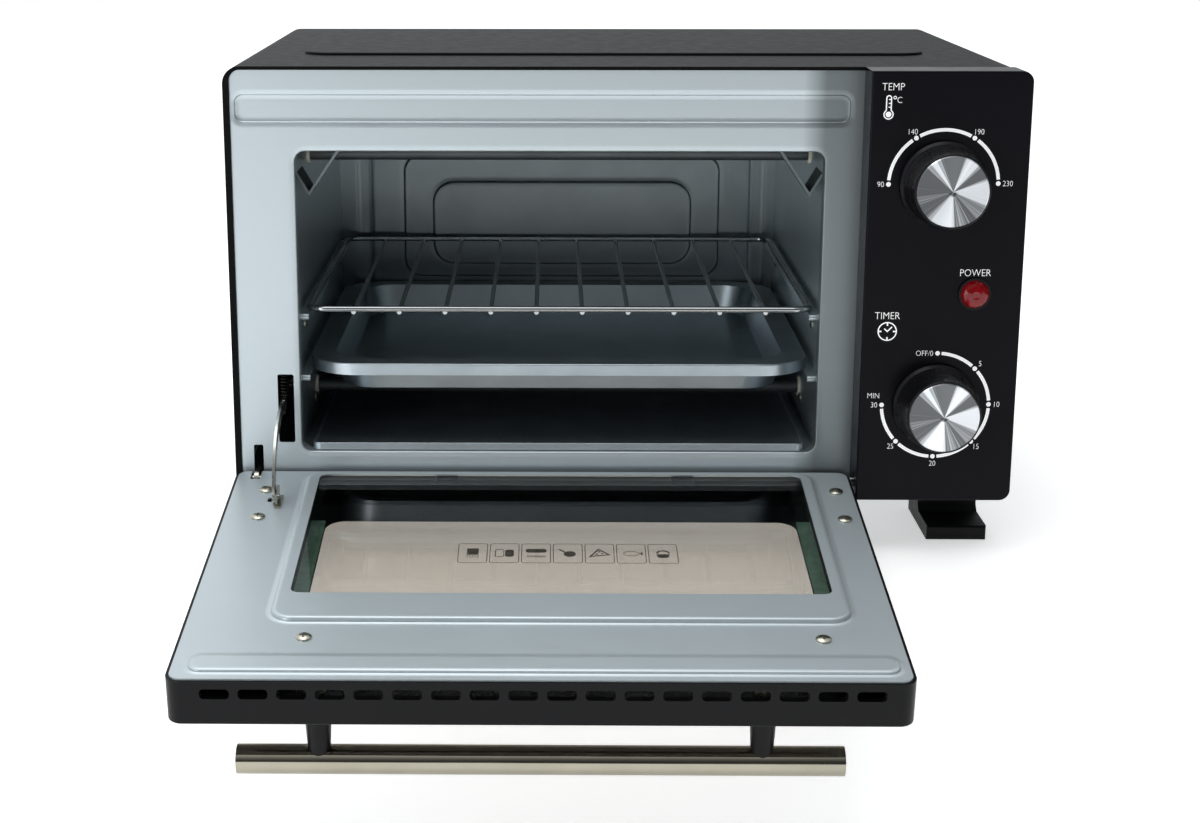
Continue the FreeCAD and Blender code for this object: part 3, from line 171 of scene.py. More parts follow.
def shade(colour, factor):
    """A colour made darker or lighter by a factor."""
    return (*(min(1.0, c * factor) for c in colour[:3]), 1.0)


# ---------------------------------------------------------------- finishes

def pressed(tree, place, fields):
    """Height of the soft shoulders round pressed fields, in metres; a field is left, low, right and high on
    the sheet's plane, its corner radius, the shoulder's width and its rise, all in millimetres."""
    spot = add_node(tree, "ShaderNodeTexCoord")
    flat = add_node(tree, "ShaderNodeMapping", {"Location": place.translation, "Rotation": place.to_euler()},
                    {"Vector": spot.outputs["Object"]}, vector_type="TEXTURE")
    total = None
    for left, low, right, high, corner, shoulder, rise in fields:
        middle_at = Vector((left + right, low + high, 0)) / 2 * MM
        core = Vector((right - left - 2 * corner, high - low - 2 * corner, 2000)) / 2 * MM
        away = add_node(tree, "ShaderNodeVectorMath", {1: middle_at}, {0: flat.outputs[0]},
                        operation="SUBTRACT")
        folded = add_node(tree, "ShaderNodeVectorMath", links={0: away.outputs[0]}, operation="ABSOLUTE")
        beyond = add_node(tree, "ShaderNodeVectorMath", {1: core}, {0: folded.outputs[0]},
                          operation="SUBTRACT")
        outside = add_node(tree, "ShaderNodeVectorMath", {1: Vector()}, {0: beyond.outputs[0]},
                           operation="MAXIMUM")
        reach = add_node(tree, "ShaderNodeVectorMath", links={0: outside.outputs[0]}, operation="LENGTH")
        step = add_node(tree, "ShaderNodeMapRange", {
            "From Min": (corner - shoulder / 2) * MM, "From Max": (corner + shoulder / 2) * MM,
            "To Min": rise * MM, "To Max": 0.0}, {"Value": reach.outputs["Value"]},
            interpolation_type="SMOOTHSTEP")
        if total is not None:
            step = add_node(tree, "ShaderNodeMath", links={0: total.outputs[0], 1: step.outputs[0]},
                            operation="ADD")
        total = step
    return total.outputs[0]


def zinc_sheet(name, colour, metal, place, fields, panel_shade_span=None):
    """Skin-passed zinc-coated steel sheet: pale blue grey, satin, with soft pressed shoulders; the last
    argument is the stretch along X over which painted shade darkens it towards the proud control panel,
    standing in for that panel's shadow."""
    material, tree, shader = new_finish(name, Metallic=metal, Roughness=0.36)
    tone = mottle(tree, 60 * MM)
    # painted shade: across the given stretch of X the sheet darkens to 0.38 of its colour, where the proud
    # control panel shades it
    if panel_shade_span:
        spot = add_node(tree, "ShaderNodeTexCoord")
        along = add_node(tree, "ShaderNodeSeparateXYZ", links={"Vector": spot.outputs["Object"]})
        painted_panel_shade = add_node(tree, "ShaderNodeMapRange", {"From Min": panel_shade_span[0], "From Max": panel_shade_span[1]},
                        {"Value": along.outputs["X"]}, interpolation_type="SMOOTHSTEP")
        tone = painted_panel_shade.outputs[0]
    tint(tree, shader, tone, colour, shade(colour, 0.38 if panel_shade_span else 0.96))
    spread(tree, shader, "Roughness", mottle(tree, 0.5 * MM, 3.0, (40, 1, 1)), 0.33, 0.4)
    emboss(tree, shader, pressed(tree, place, fields), 1.0)
    return material


def cavity_zinc(name, colour, place=None, fields=()):
    """Hot-dip galvanised sheet: grey, a little smoother than the front, with broad dull spangle."""
    material, tree, shader = new_finish(name, Metallic=0.9, Roughness=0.32)
    spot = add_node(tree, "ShaderNodeTexCoord")
    # spangle is 5 to 8 mm across on thin sheet
    crystals = add_node(tree, "ShaderNodeTexVoronoi", {"Scale": 1 / (7 * MM)},
                        {"Vector": spot.outputs["Object"]})
    spangle = add_node(tree, "ShaderNodeSeparateColor", links={"Color": crystals.outputs["Color"]})
    tint(tree, shader, spangle.outputs[0], shade(colour, 0.985), shade(colour, 1.01))
    spread(tree, shader, "Roughness", mottle(tree, 25 * MM), 0.3, 0.34)
    if fields:
        emboss(tree, shader, pressed(tree, place, fields), 1.0)
    return material


def powder_coat(colour):
    """Epoxy-polyester powder coat on steel: charcoal black with the fine orange peel of a baked powder."""
    material, tree, shader = new_finish("charcoal_powder_coat", Roughness=0.45, Specular_IOR_Level=0.055)
    tint(tree, shader, mottle(tree, 90 * MM), shade(colour, 0.9), shade(colour, 1.1))
    spread(tree, shader, "Roughness", mottle(tree, 6 * MM), 0.42, 0.48)
    emboss(tree, shader, mottle(tree, 1.1 * MM, 3.0), 0.01 * MM, 0.25)
    return material


def gloss_abs(colour):
    """Injection-moulded ABS from a polished mould: near-black and glossy, with faint flow ripples."""
    material, tree, shader = new_finish("gloss_black_abs", Roughness=0.2, Specular_IOR_Level=0.07)
    tint(tree, shader, mottle(tree, 70 * MM), shade(colour, 0.94), shade(colour, 1.06))
    spread(tree, shader, "Roughness", mottle(tree, 12 * MM), 0.18, 0.26)
    emboss(tree, shader, mottle(tree, 9 * MM, 1.0), 0.02 * MM, 0.25)
    return material


def satin_polymer(name, colour, roughness=0.42, grit=0.6 * MM):
    """A moulded polymer from a spark-eroded mould: even, satin, with a fine pebbled skin."""
    material, tree, shader = new_finish(name, Roughness=roughness, Specular_IOR_Level=0.15)
    tint(tree, shader, mottle(tree, 30 * MM), shade(colour, 0.92), shade(colour, 1.08))
    spread(tree, shader, "Roughness", mottle(tree, 5 * MM), roughness - 0.05, roughness + 0.05)
    emboss(tree, shader, mottle(tree, grit, 2.0), 0.03 * MM, 0.35)
    return material


def bare_metal(name, colour, roughness, stretch=(1, 1, 1), grit=0.5 * MM, clouds=20 * MM):
    """A bare or plated metal: its polish varies in clouds, over fine marks along the way it was worked."""
    material, tree, shader = new_finish(name, Metallic=1.0, Roughness=roughness)
    tint(tree, shader, mottle(tree, clouds), shade(colour, 0.93), shade(colour, 1.04))
    marks = mottle(tree, grit, 2.0, stretch)
    spread(tree, shader, "Roughness", marks, max(0.03, roughness - 0.05), roughness + 0.06)
    emboss(tree, shader, marks, 0.008 * MM, 0.3)
    return material


def spun_aluminium(name, colour, centre):
    """Aluminium turned on a lathe: the fine rings about its middle draw what it reflects out into rays, and
    painted highlights of bright and dark sectors in its colour stand in for those rays.
    """
    material, tree, shader = new_finish(name, Metallic=1.0, Roughness=0.3, Anisotropic=0.9)
    place = add_node(tree, "ShaderNodeTexCoord")
    from_middle = add_node(tree, "ShaderNodeVectorMath", {1: -centre}, {0: place.outputs["Object"]})
    flat = add_node(tree, "ShaderNodeVectorMath", {1: Vector((1, 0, 1))}, {0: from_middle.outputs[0]},
                    operation="MULTIPLY")
    heading = add_node(tree, "ShaderNodeVectorMath", links={0: flat.outputs[0]}, operation="NORMALIZE")
    # painted highlights: broad bright and dark sectors in the colour, the same from the middle to the rim,
    # with fine painted streaks over them
    painted_highlight_sectors = add_node(tree, "ShaderNodeTexNoise", {"Scale": 1.45, "Detail": 1.0, "Roughness": 0.4},
                       {"Vector": heading.outputs[0]})
    painted_highlight_streaks = add_node(tree, "ShaderNodeTexNoise", {"Scale": 14.0, "Detail": 2.0},
                       {"Vector": heading.outputs[0]})
    both = add_node(tree, "ShaderNodeMath", {1: 0.22}, {0: painted_highlight_streaks.outputs["Fac"], 2: painted_highlight_sectors.outputs["Fac"]},
                    operation="MULTIPLY_ADD")
    painted_sheen = add_node(tree, "ShaderNodeMapRange", {"From Min": 0.42, "From Max": 0.84},
                        {"Value": both.outputs[0]},
                        interpolation_type="SMOOTHSTEP")
    # painted highlight and painted shade: the sectors move the colour between 0.22 and 1.25 of itself
    tint(tree, shader, painted_sheen.outputs[0], shade(colour, 0.22), shade(colour, 1.25))
    tangent = add_node(tree, "ShaderNodeTangent", direction_type="RADIAL", axis="Y")
    tree.links.new(tangent.outputs[0], shader.inputs["Tangent"])
    # the tool's feed is about 0.1 mm a turn, drawn at 0.4 mm so that it shows
    reach = add_node(tree, "ShaderNodeVectorMath", links={0: flat.outputs[0]}, operation="LENGTH")
    feed = add_node(tree, "ShaderNodeMath", {1: math.tau / (0.4 * MM)}, {0: reach.outputs["Value"]},
                    operation="MULTIPLY")
    rings = add_node(tree, "ShaderNodeMath", links={0: feed.outputs[0]}, operation="SINE")
    spread(tree, shader, "Roughness", rings.outputs[0], 0.28, 0.31)
    return material


def float_glass(name, colour):
    """Toughened soda-lime float glass: clear and mirror smooth, with the iron's faint green cast."""
    material, tree, shader = new_finish(name, Roughness=0.0, IOR=1.42, Transmission_Weight=1.0)
    tint(tree, shader, mottle(tree, 80 * MM), colour, shade(colour, 1.01))
    return material


def ground_edge(colour):
    """The pane's ground edge: light that has run along the pane comes out of it green."""
    material, tree, shader = new_finish("ground_glass_edge", Roughness=0.35, IOR=1.52,
                                        Transmission_Weight=0.35)
    tint(tree, shader, mottle(tree, 4 * MM), shade(colour, 0.8), shade(colour, 1.2))
    emboss(tree, shader, mottle(tree, 0.4 * MM), 0.02 * MM, 0.4)
    return material


def fired_ink(name, colour, roughness, glow=0.0):
    """Screen-printed ink: matt, opaque, with the slight unevenness of a pulled screen; the glow argument makes
    it give a painted glow of its own colour, though ink is no lamp.
    """
    material, tree, shader = new_finish(name, Roughness=roughness, Specular_IOR_Level=0.3,
                                        Emission_Color=colour, Emission_Strength=glow)
    tint(tree, shader, mottle(tree, 3 * MM, 3.0), shade(colour, 0.95), shade(colour, 1.02))
    spread(tree, shader, "Roughness", mottle(tree, 0.5 * MM), roughness - 0.05, roughness + 0.05)
    return material


def lens_polycarbonate(colour):
    """Red polycarbonate, polished: clear through its facets, deepest where it is thickest."""
    material, tree, shader = new_finish("red_polycarbonate", Roughness=0.05, IOR=1.45,
                                        Transmission_Weight=0.4,
                                        Emission_Strength=0.02, Emission_Color=srgb("#ff1418"))
    tint(tree, shader, mottle(tree, 2 * MM), shade(colour, 0.8), shade(colour, 1.3))
    return material


def oxidised_sheath(colour):
    """A heater's nickel-steel sheath after its first firings: olive grey, with straw and blue heat clouds."""
    material, tree, shader = new_finish("oxidised_nickel_steel", Metallic=0.75, Roughness=0.48)
    tint(tree, shader, mottle(tree, 14 * MM, 3.0, (4, 1, 1)), shade(colour, 0.7), shade(colour, 1.25))
    emboss(tree, shader, mottle(tree, 0.4 * MM), 0.02 * MM, 0.4)
    return material


# ---------------------------------------------------------------- mesh building

def to_mesh(shape, name, angle=SMOOTH_UNDER):
    """The finished mesh of a bmesh, smooth except along edges sharper than angle."""
    mesh = bpy.data.meshes.new(name)
    shape.to_mesh(mesh)
    shape.free()
    mesh.polygons.foreach_set("use_smooth", [True] * len(mesh.polygons))
    mesh.set_sharp_from_angle(angle=angle)
    return mesh


def show(name, mesh, body, materials, stands_for=()):
    """Puts the piece in the scene on its body, with its finish and the nodes that it stands for."""
    piece = bpy.data.objects.new(name, mesh)
    bpy.context.scene.collection.objects.link(piece)
    mesh.materials.clear()
    for material in materials:
        mesh.materials.append(material)
    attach(piece, body)
    if stands_for:
        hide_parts(*stands_for)
    return piece


def finish_nodes(material, *nodes):
    """Gives CAD nodes a finish."""
    for node in nodes:
        NODES[node].data.materials[0] = material


def turned(profile, sides=96):
    """A closed solid turned about Y from a profile of (radius, y) points that starts and ends on the axis."""
    shape = bmesh.new()
    rings = []
    for radius, y in profile:
        if radius < EPSILON:
            rings.append([shape.verts.new((0, y, 0))])
            continue
        angles = [2 * math.pi * i / sides for i in range(sides)]
        rings.append([shape.verts.new((radius * math.cos(a), y, radius * math.sin(a))) for a in angles])
    for near, far in zip(rings, rings[1:]):
        for i in range(sides):
            j = (i + 1) % sides
            corners = [near[i % len(near)], near[j % len(near)], far[j % len(far)], far[i % len(far)]]
            shape.faces.new(list(dict.fromkeys(corners)))
    bmesh.ops.recalc_face_normals(shape, faces=shape.faces)
    return shape


def rounded_slab(low, high, radius, rim, steps=8):
    """A slab between two levels with rounded corners and a chamfered rim, x and y from its corners."""
    shape = bmesh.new()

    def loop(inset, level):
        points = rounded_points(low.x + inset, low.y + inset, high.x - inset, high.y - inset, radius - inset,
                                steps)
        return [shape.verts.new((x, y, level)) for x, y in points]

    levels = [loop(rim, low.z), loop(0, low.z + rim), loop(0, high.z - rim), loop(rim, high.z)]
    count = len(levels[0])
    for below, above in zip(levels, levels[1:]):
        for i in range(count):
            j = (i + 1) % count
            shape.faces.new((below[i], below[j], above[j], above[i]))
    shape.faces.new(levels[0])
    shape.faces.new(levels[-1])
    bmesh.ops.recalc_face_normals(shape, faces=shape.faces)
    return shape


def rounded_points(left, bottom, right, top, radius, steps=8):
    """The outline of a rectangle with round corners, anticlockwise."""
    corners = ((right - radius, top - radius, 0), (left + radius, top - radius, 90),
               (left + radius, bottom + radius, 180), (right - radius, bottom + radius, 270))
    points = []
    for x, y, start in corners:
        for i in range(steps + 1):
            angle = math.radians(start + 90 * i / steps)
            points.append((x + radius * math.cos(angle), y + radius * math.sin(angle)))
    return points


class Print:
    """Flat marks of ink, drawn x to the right and y up, then given their thickness and put on a surface."""

    def __init__(self):
        self.shape = bmesh.new()

    def patch(self, points):
        """A filled outline."""
        self.shape.faces.new([self.shape.verts.new((x, y, 0)) for x, y in points])

    def disc(self, x, y, radius, sides=32):
        """A dot."""
        turns = [2 * math.pi * i / sides for i in range(sides)]
        self.patch([(x + radius * math.cos(a), y + radius * math.sin(a)) for a in turns])

    def band(self, x, y, radius, width, start, end, steps=48):
        """An arc of that width from start to end, in degrees anticlockwise from the right."""
        angles = [math.radians(start + (end - start) * i / steps) for i in range(steps + 1)]
        self.ribbon([(x + radius * math.cos(a), y + radius * math.sin(a)) for a in angles], width,
                    closed=abs(end - start) >= 360)

    def ribbon(self, points, width, closed=False):
        """A line of that width along points, mitred where it turns."""
        if closed and (Vector(points[0]) - Vector(points[-1])).length < EPSILON:
            points = points[:-1]
        count = len(points)
        sides = []
        for i, point in enumerate(points):
            before = points[i - 1] if closed or i else point
            after = points[(i + 1) % count] if closed or i < count - 1 else point
            into = (Vector(point) - Vector(before)).normalized() if before != point else None
            out = (Vector(after) - Vector(point)).normalized() if after != point else None
            into, out = into or out, out or into
            across = (into + out).orthogonal().normalized()
            reach = width / 2 / max(0.4, across.dot(into.orthogonal().normalized()))
            sides.append([self.shape.verts.new((*(Vector(point) + across * sign * reach), 0)) for sign in (1,
                -1)])
        for i in range(count if closed else count - 1):
            a, b = sides[i], sides[(i + 1) % count]
            self.shape.faces.new((a[0], a[1], b[1], b[0]))

    def words(self, text, x, y, height, align="CENTER"):
        """Plain capitals or figures of that height, centred at y and set left, centred or right of x."""
        letters = bpy.data.curves.new(text, "FONT")
        letters.body = text
        letters.align_x = align
        letters.resolution_u = 4
        letters.offset = -0.016
        holder = bpy.data.objects.new(text, letters)
        bpy.context.scene.collection.objects.link(holder)
        flat = bpy.data.meshes.new_from_object(holder.evaluated_get(bpy.context.evaluated_depsgraph_get()))
        tops = [v.co.y for v in flat.vertices]
        size = height / (max(tops) - min(tops))
        narrow = Matrix.Diagonal((0.88 * size, size, size, 1))
        flat.transform(Matrix.Translation((x, y - height / 2 - min(tops) * size, 0)) @ narrow)
        self.shape.from_mesh(flat)
        bpy.data.objects.remove(holder)
        bpy.data.curves.remove(letters)
        bpy.data.meshes.remove(flat)

    def solid(self, name, thickness, place):
        """The marks as one mesh of that thickness, at their place."""
        bmesh.ops.remove_doubles(self.shape, verts=self.shape.verts, dist=EPSILON / 10)
        bmesh.ops.recalc_face_normals(self.shape, faces=self.shape.faces)
        for face in self.shape.faces:
            if face.normal.z < 0:
                face.normal_flip()
        grown = bmesh.ops.extrude_face_region(self.shape, geom=self.shape.faces[:], use_keep_orig=True)
        top = [item for item in grown["geom"] if isinstance(item, bmesh.types.BMVert)]
        bmesh.ops.translate(self.shape, verts=top, vec=(0, 0, thickness))
        bmesh.ops.recalc_face_normals(self.shape, faces=self.shape.faces)
        self.shape.transform(place)
        return to_mesh(self.shape, name)


def islands(node):
    """The separate solids of a node, each as the list of its corners."""
    shape = bmesh.new()
    shape.from_mesh(NODES[node].data)
    bmesh.ops.remove_doubles(shape, verts=shape.verts, dist=EPSILON)
    left, found = set(shape.verts), []
    while left:
        reached = [left.pop()]
        for vertex in reached:
            for edge in vertex.link_edges:
                other = edge.other_vert(vertex)
                if other in left:
                    left.discard(other)
                    reached.append(other)
        found.append([vertex.co.copy() for vertex in reached])
    shape.free()
    return found


def plain_mesh(holder, name):
    """What a Geometry Nodes modifier makes, as a plain mesh; the holder is then removed."""
    mesh = bpy.data.meshes.new_from_object(holder.evaluated_get(bpy.context.evaluated_depsgraph_get()))
    mesh.name = name
    holder.modifiers.clear()
    bpy.data.objects.remove(holder)
    mesh.polygons.foreach_set("use_smooth", [True] * len(mesh.polygons))
    mesh.set_sharp_from_angle(angle=SMOOTH_UNDER)
    return mesh


def run_tree(tree, points, directions, inputs):
    """Runs a Geometry Nodes tree over points, each with a direction, and gives back its holder."""
    cloud = bpy.data.meshes.new("points")
    cloud.from_pydata([tuple(point) for point in points], [], [])
    facing = cloud.attributes.new("facing", "FLOAT_VECTOR", "POINT")
    facing.data.foreach_set("vector", [value for way in directions for value in way])
    holder = bpy.data.objects.new("holder", cloud)
    bpy.context.scene.collection.objects.link(holder)
    modifier = holder.modifiers.new("repeat", "NODES")
    modifier.node_group = tree
    for item in tree.interface.items_tree:
        if item.item_type == "SOCKET" and item.in_out == "INPUT" and item.name in inputs:
            modifier[item.identifier] = inputs[item.name]
    return holder


def new_tree(name, inputs):
    """An empty Geometry Nodes tree with geometry in and out and the named inputs: its group input and it."""
    tree = bpy.data.node_groups.new(name, "GeometryNodeTree")
    tree.interface.new_socket("Geometry", in_out="INPUT", socket_type="NodeSocketGeometry")
    tree.interface.new_socket("Geometry", in_out="OUTPUT", socket_type="NodeSocketGeometry")
    for label, kind in inputs.items():
        tree.interface.new_socket(label, in_out="INPUT", socket_type=kind)
    return tree, add_node(tree, "NodeGroupInput")


def end_tree(tree, source, geometry):
    """Ends the tree: instances made real, with the material that is its input."""
    real = add_node(tree, "GeometryNodeRealizeInstances", links={"Geometry": geometry})
    coated = add_node(tree, "GeometryNodeSetMaterial",
                      links={"Geometry": real.outputs[0], "Material": source.outputs["Material"]})
    add_node(tree, "NodeGroupOutput", links={0: coated.outputs[0]})


def screw_head_tree():
    """A pan head with a cross recess on each point, looking along the point's facing direction."""
    tree, source = new_tree("cross_head_screws", {
        "Radius": "NodeSocketFloat", "Height": "NodeSocketFloat", "Slot": "NodeSocketFloat",
        "Material": "NodeSocketMaterial"})
    height = source.outputs["Height"]
    double = add_node(tree, "ShaderNodeMath", {1: 2.0}, {0: height}, operation="MULTIPLY")
    body = add_node(tree, "GeometryNodeMeshCylinder", {"Vertices": 32},
                    {"Radius": source.outputs["Radius"], "Depth": double.outputs[0]})
    size = add_node(tree, "ShaderNodeCombineXYZ",
                    links={"X": source.outputs["Radius"], "Y": source.outputs["Radius"], "Z": height})
    swell = add_node(tree, "ShaderNodeVectorMath", {1: (1.12, 1.12, 1.0)}, {0: size.outputs[0]},
                     operation="MULTIPLY")
    ball = add_node(tree, "GeometryNodeMeshUVSphere", {"Segments": 32, "Rings": 24, "Radius": 1.0})
    dome = add_node(tree, "GeometryNodeTransform", links={0: ball.outputs[0], "Scale": swell.outputs[0]})
    head = add_node(tree, "GeometryNodeMeshBoolean", {}, operation="INTERSECT", solver="EXACT")
    tree.links.new(body.outputs[0], head.inputs["Mesh 2"])
    tree.links.new(dome.outputs[0], head.inputs["Mesh 2"])
    long = add_node(tree, "ShaderNodeMath", {1: 1.15}, {0: source.outputs["Radius"]}, operation="MULTIPLY")
    arms = []
    for first, second in (("X", "Y"), ("Y", "X")):
        arm = add_node(tree, "ShaderNodeCombineXYZ", links={
            first: long.outputs[0], second: source.outputs["Slot"], "Z": height})
        arms.append(add_node(tree, "GeometryNodeMeshCube", links={"Size": arm.outputs[0]}))
    lift = add_node(tree, "ShaderNodeCombineXYZ", links={"Z": height})
    recessed = head.outputs[0]
    for arm in arms:
        raised = add_node(tree, "GeometryNodeTransform", links={0: arm.outputs[0],
                                                                "Translation": lift.outputs[0]})
        cut = add_node(tree, "GeometryNodeMeshBoolean", operation="DIFFERENCE", solver="EXACT")
        tree.links.new(recessed, cut.inputs["Mesh 1"])
        tree.links.new(raised.outputs[0], cut.inputs["Mesh 2"])
        recessed = cut.outputs[0]
    facing = add_node(tree, "GeometryNodeInputNamedAttribute", {"Name": "facing"}, data_type="FLOAT_VECTOR")
    aim = add_node(tree, "FunctionNodeAlignRotationToVector", links={"Vector": facing.outputs[0]}, axis="Z")
    points = add_node(tree, "GeometryNodeMeshToPoints", links={"Mesh": source.outputs["Geometry"]})
    heads = add_node(tree, "GeometryNodeInstanceOnPoints",
                     links={"Points": points.outputs[0], "Instance": recessed, "Rotation": aim.outputs[0]})
    end_tree(tree, source, heads.outputs[0])
    return tree


def coil_tree():
    """A close round spring up the Z axis from each point, of round wire."""
    tree, source = new_tree("tension_spring", {
        "Turns": "NodeSocketFloat", "Radius": "NodeSocketFloat", "Wire": "NodeSocketFloat",
        "Length": "NodeSocketFloat", "Material": "NodeSocketMaterial"})
    helix = add_node(tree, "GeometryNodeCurveSpiral", {"Resolution": 20}, {
        "Rotations": source.outputs["Turns"], "Start Radius": source.outputs["Radius"],
        "End Radius": source.outputs["Radius"], "Height": source.outputs["Length"]})
    wire = add_node(tree, "GeometryNodeCurvePrimitiveCircle", {"Resolution": 10},
                    {"Radius": source.outputs["Wire"]})
    coil = add_node(tree, "GeometryNodeCurveToMesh", {"Fill Caps": True},
                    {"Curve": helix.outputs[0], "Profile Curve": wire.outputs[0]})
    points = add_node(tree, "GeometryNodeMeshToPoints", links={"Mesh": source.outputs["Geometry"]})
    coils = add_node(tree, "GeometryNodeInstanceOnPoints",
                     links={"Points": points.outputs[0], "Instance": coil.outputs[0]})
    end_tree(tree, source, coils.outputs[0])
    return tree


# ---------------------------------------------------------------- sizes and colours that a user would change

def length(name, description, default):
    """A length property in metres."""
    return bpy.props.FloatProperty(name=name, description=description, default=default, unit="LENGTH")


def colour(name, description, code):
    """A colour property."""
    return bpy.props.FloatVectorProperty(name=name, description=description, default=srgb(code), size=4,
                                         subtype="COLOR", min=0.0, max=1.0)


class OVEN_PG_colours(bpy.types.PropertyGroup):
    """The colours of the finishes."""
    front_sheet: colour("Front sheet", "Zinc-coated front and door sheets", "#c3cdd1")
    cavity: colour("Cavity", "Galvanised cooking cavity", "#a0a9ac")
    cover: colour("Cover", "Charcoal powder coat", "#0f0f10")
    fascia: colour("Fascia", "Glossy control panel", "#0f0e13")
    door_frame: colour("Door frame", "Satin black door frame", "#0b0b0d")
    knob: colour("Knob", "Knob skirts", "#121214")
    knob_face: colour("Knob face", "Spun aluminium caps", "#d5d8dc")
    chrome: colour("Chrome", "Plated handle and rack", "#aeb1b1")
    tray: colour("Tray", "Pressed baking tray", "#b4bec4")
    glass: colour("Glass", "Clear panes", "#ebe7e1")
    glass_edge: colour("Glass edge", "Ground edges of the panes", "#86b9a5")
    black_ink: colour("Black ink", "Fired border of the door glass", "#0e1013")
    grey_ink: colour("Grey ink", "Food signs on the door glass", "#6b6863")
    white_ink: colour("White ink", "Marks on the control panel", "#f4f4f4")
    lamp: colour("Lamp", "Red lamp lens", "#8c0a14")
    zinc: colour("Zinc plate", "Screws, brackets and tabs", "#b9b6a8")


class OVEN_PG_dial_marks(bpy.types.PropertyGroup):
    """The marks round the dials."""
    ink: length("Ink", "Thickness of the printed ink", 0.05 * MM)
    radius: length("Radius", "Radius of the scale round a dial", 24.3 * MM)
    width: length("Width", "Width of a scale's line", 1.5 * MM)
    dot: length("Dot", "Radius of a dot on a scale", 1.05 * MM)
    figures: length("Figures", "Height of the figures", 2.4 * MM)
    titles: length("Titles", "Height of the words", 3.1 * MM)


class OVEN_PG_door_print(bpy.types.PropertyGroup):
    """The printed border and signs of the door glass."""
    hinge_edge: length("Hinge edge", "From the hinge's axis to the clear window", 24 * MM)
    top_edge: length("Top edge", "From the hinge's axis to the far side of the clear window", 139 * MM)
    half_width: length("Half width", "Half the width of the clear window", 107.5 * MM)
    window_shift: length("Window shift", "How far right of the door's middle the clear window is", 8.5 * MM)
    corner: length("Corner", "Corner radius of the clear window", 9 * MM)
    sign_row: length("Sign row", "From the hinge's axis to the middle of the signs", 55.5 * MM)
    sign_height: length("Sign height", "Height of a sign's outline", 18.5 * MM)
    sign_pitch: length("Sign pitch", "From one sign to the next", 14.1 * MM)
    signs: bpy.props.IntProperty(name="Signs", description="How many food signs", default=7, min=1)


class OVEN_PG_fittings(bpy.types.PropertyGroup):
    """Screws, spring, lamp and knob details."""
    screw_rise: length("Screw rise", "Height of a screw's head", 1.5 * MM)
    screw_slot: length("Screw slot", "Width of a cross recess", 0.8 * MM)
    pointer: length("Pointer", "Length of a knob's pointer", 4.5 * MM)
    spring_turns: bpy.props.FloatProperty(name="Turns", description="Turns of the link's spring",
                                          default=30.0)
    facets: bpy.props.IntProperty(name="Facets", description="Facets round the lamp's lens", default=12,
                                  min=6)


class OVEN_PG_stage(bpy.types.PropertyGroup):
    """The floor, the lights and the camera."""
    ledge: length("Ledge", "How far the floor in front lies below the feet", 0.11)
    ledge_run: length("Ledge run", "Depth of the slope between the two levels", 0.12)
    room: length("Room", "Half the size of the floor", 4.0)
    ambience: bpy.props.FloatProperty(name="Ambience", description="Strength of the room's light",
                                      default=1.05)
    paper_glow: bpy.props.FloatProperty(name="Paper glow", description="Light the paper adds of its own",
                                        default=0.5)
    lens: bpy.props.FloatProperty(name="Lens", description="Focal length on a 36 mm sensor", default=58.84)


# ---------------------------------------------------------------- operators: the housing

def palette():
    """The colours in use."""
    return bpy.context.scene.oven_colours


def finish(name, maker, *arguments):
    """The material of that name, made once."""
    return bpy.data.materials.get(name) or maker(*arguments)


def zinc_plate():
    """Bright zinc plate with its yellow cast, on screws, tabs and brackets."""
    return finish("bright_zinc_plate", bare_metal, "bright_zinc_plate", palette().zinc[:], 0.26)


class OVEN_OT_housing(bpy.types.Operator):
    """Finishes the cover, the back, the base and the feet"""
    bl_idname = "oven.housing"
    bl_label = "Housing"

    def execute(self, context):
        colours = palette()
        finish_nodes(powder_coat(colours.cover[:]), "outer_cover", "rear_panel")
        # the front sheet's painted shade runs from x 68 mm to 106 mm, beside the proud control panel
        front = zinc_sheet("satin_zinc_coated_front_sheet", colours.front_sheet[:], 0.72, upright_sheet(),
                           FRONT_PRESSINGS, (68 * MM, 106 * MM))
        finish_nodes(front, "front_frame")
        door = zinc_sheet("satin_zinc_coated_door_sheet", colours.front_sheet[:], 0.5, on_door(),
                          DOOR_PRESSINGS)
        finish_nodes(door, "door_panel")
        pan = bare_metal("mill_finish_zinc_steel", colours.cavity[:], 0.38, (30, 1, 1))
        finish_nodes(pan, "base_plate", "heat_shield", "spring_post")
        feet = satin_polymer("black_polypropylene", colours.door_frame[:], 0.5)
        finish_nodes(feet, "foot_front_left", "foot_front_right", "foot_rear_left", "foot_rear_right")
        finish_nodes(satin_polymer("black_pvc", colours.knob[:], 0.55), "cable_inlet")
        finish_nodes(gloss_abs(colours.fascia[:]), "control_panel")
        return {"FINISHED"}


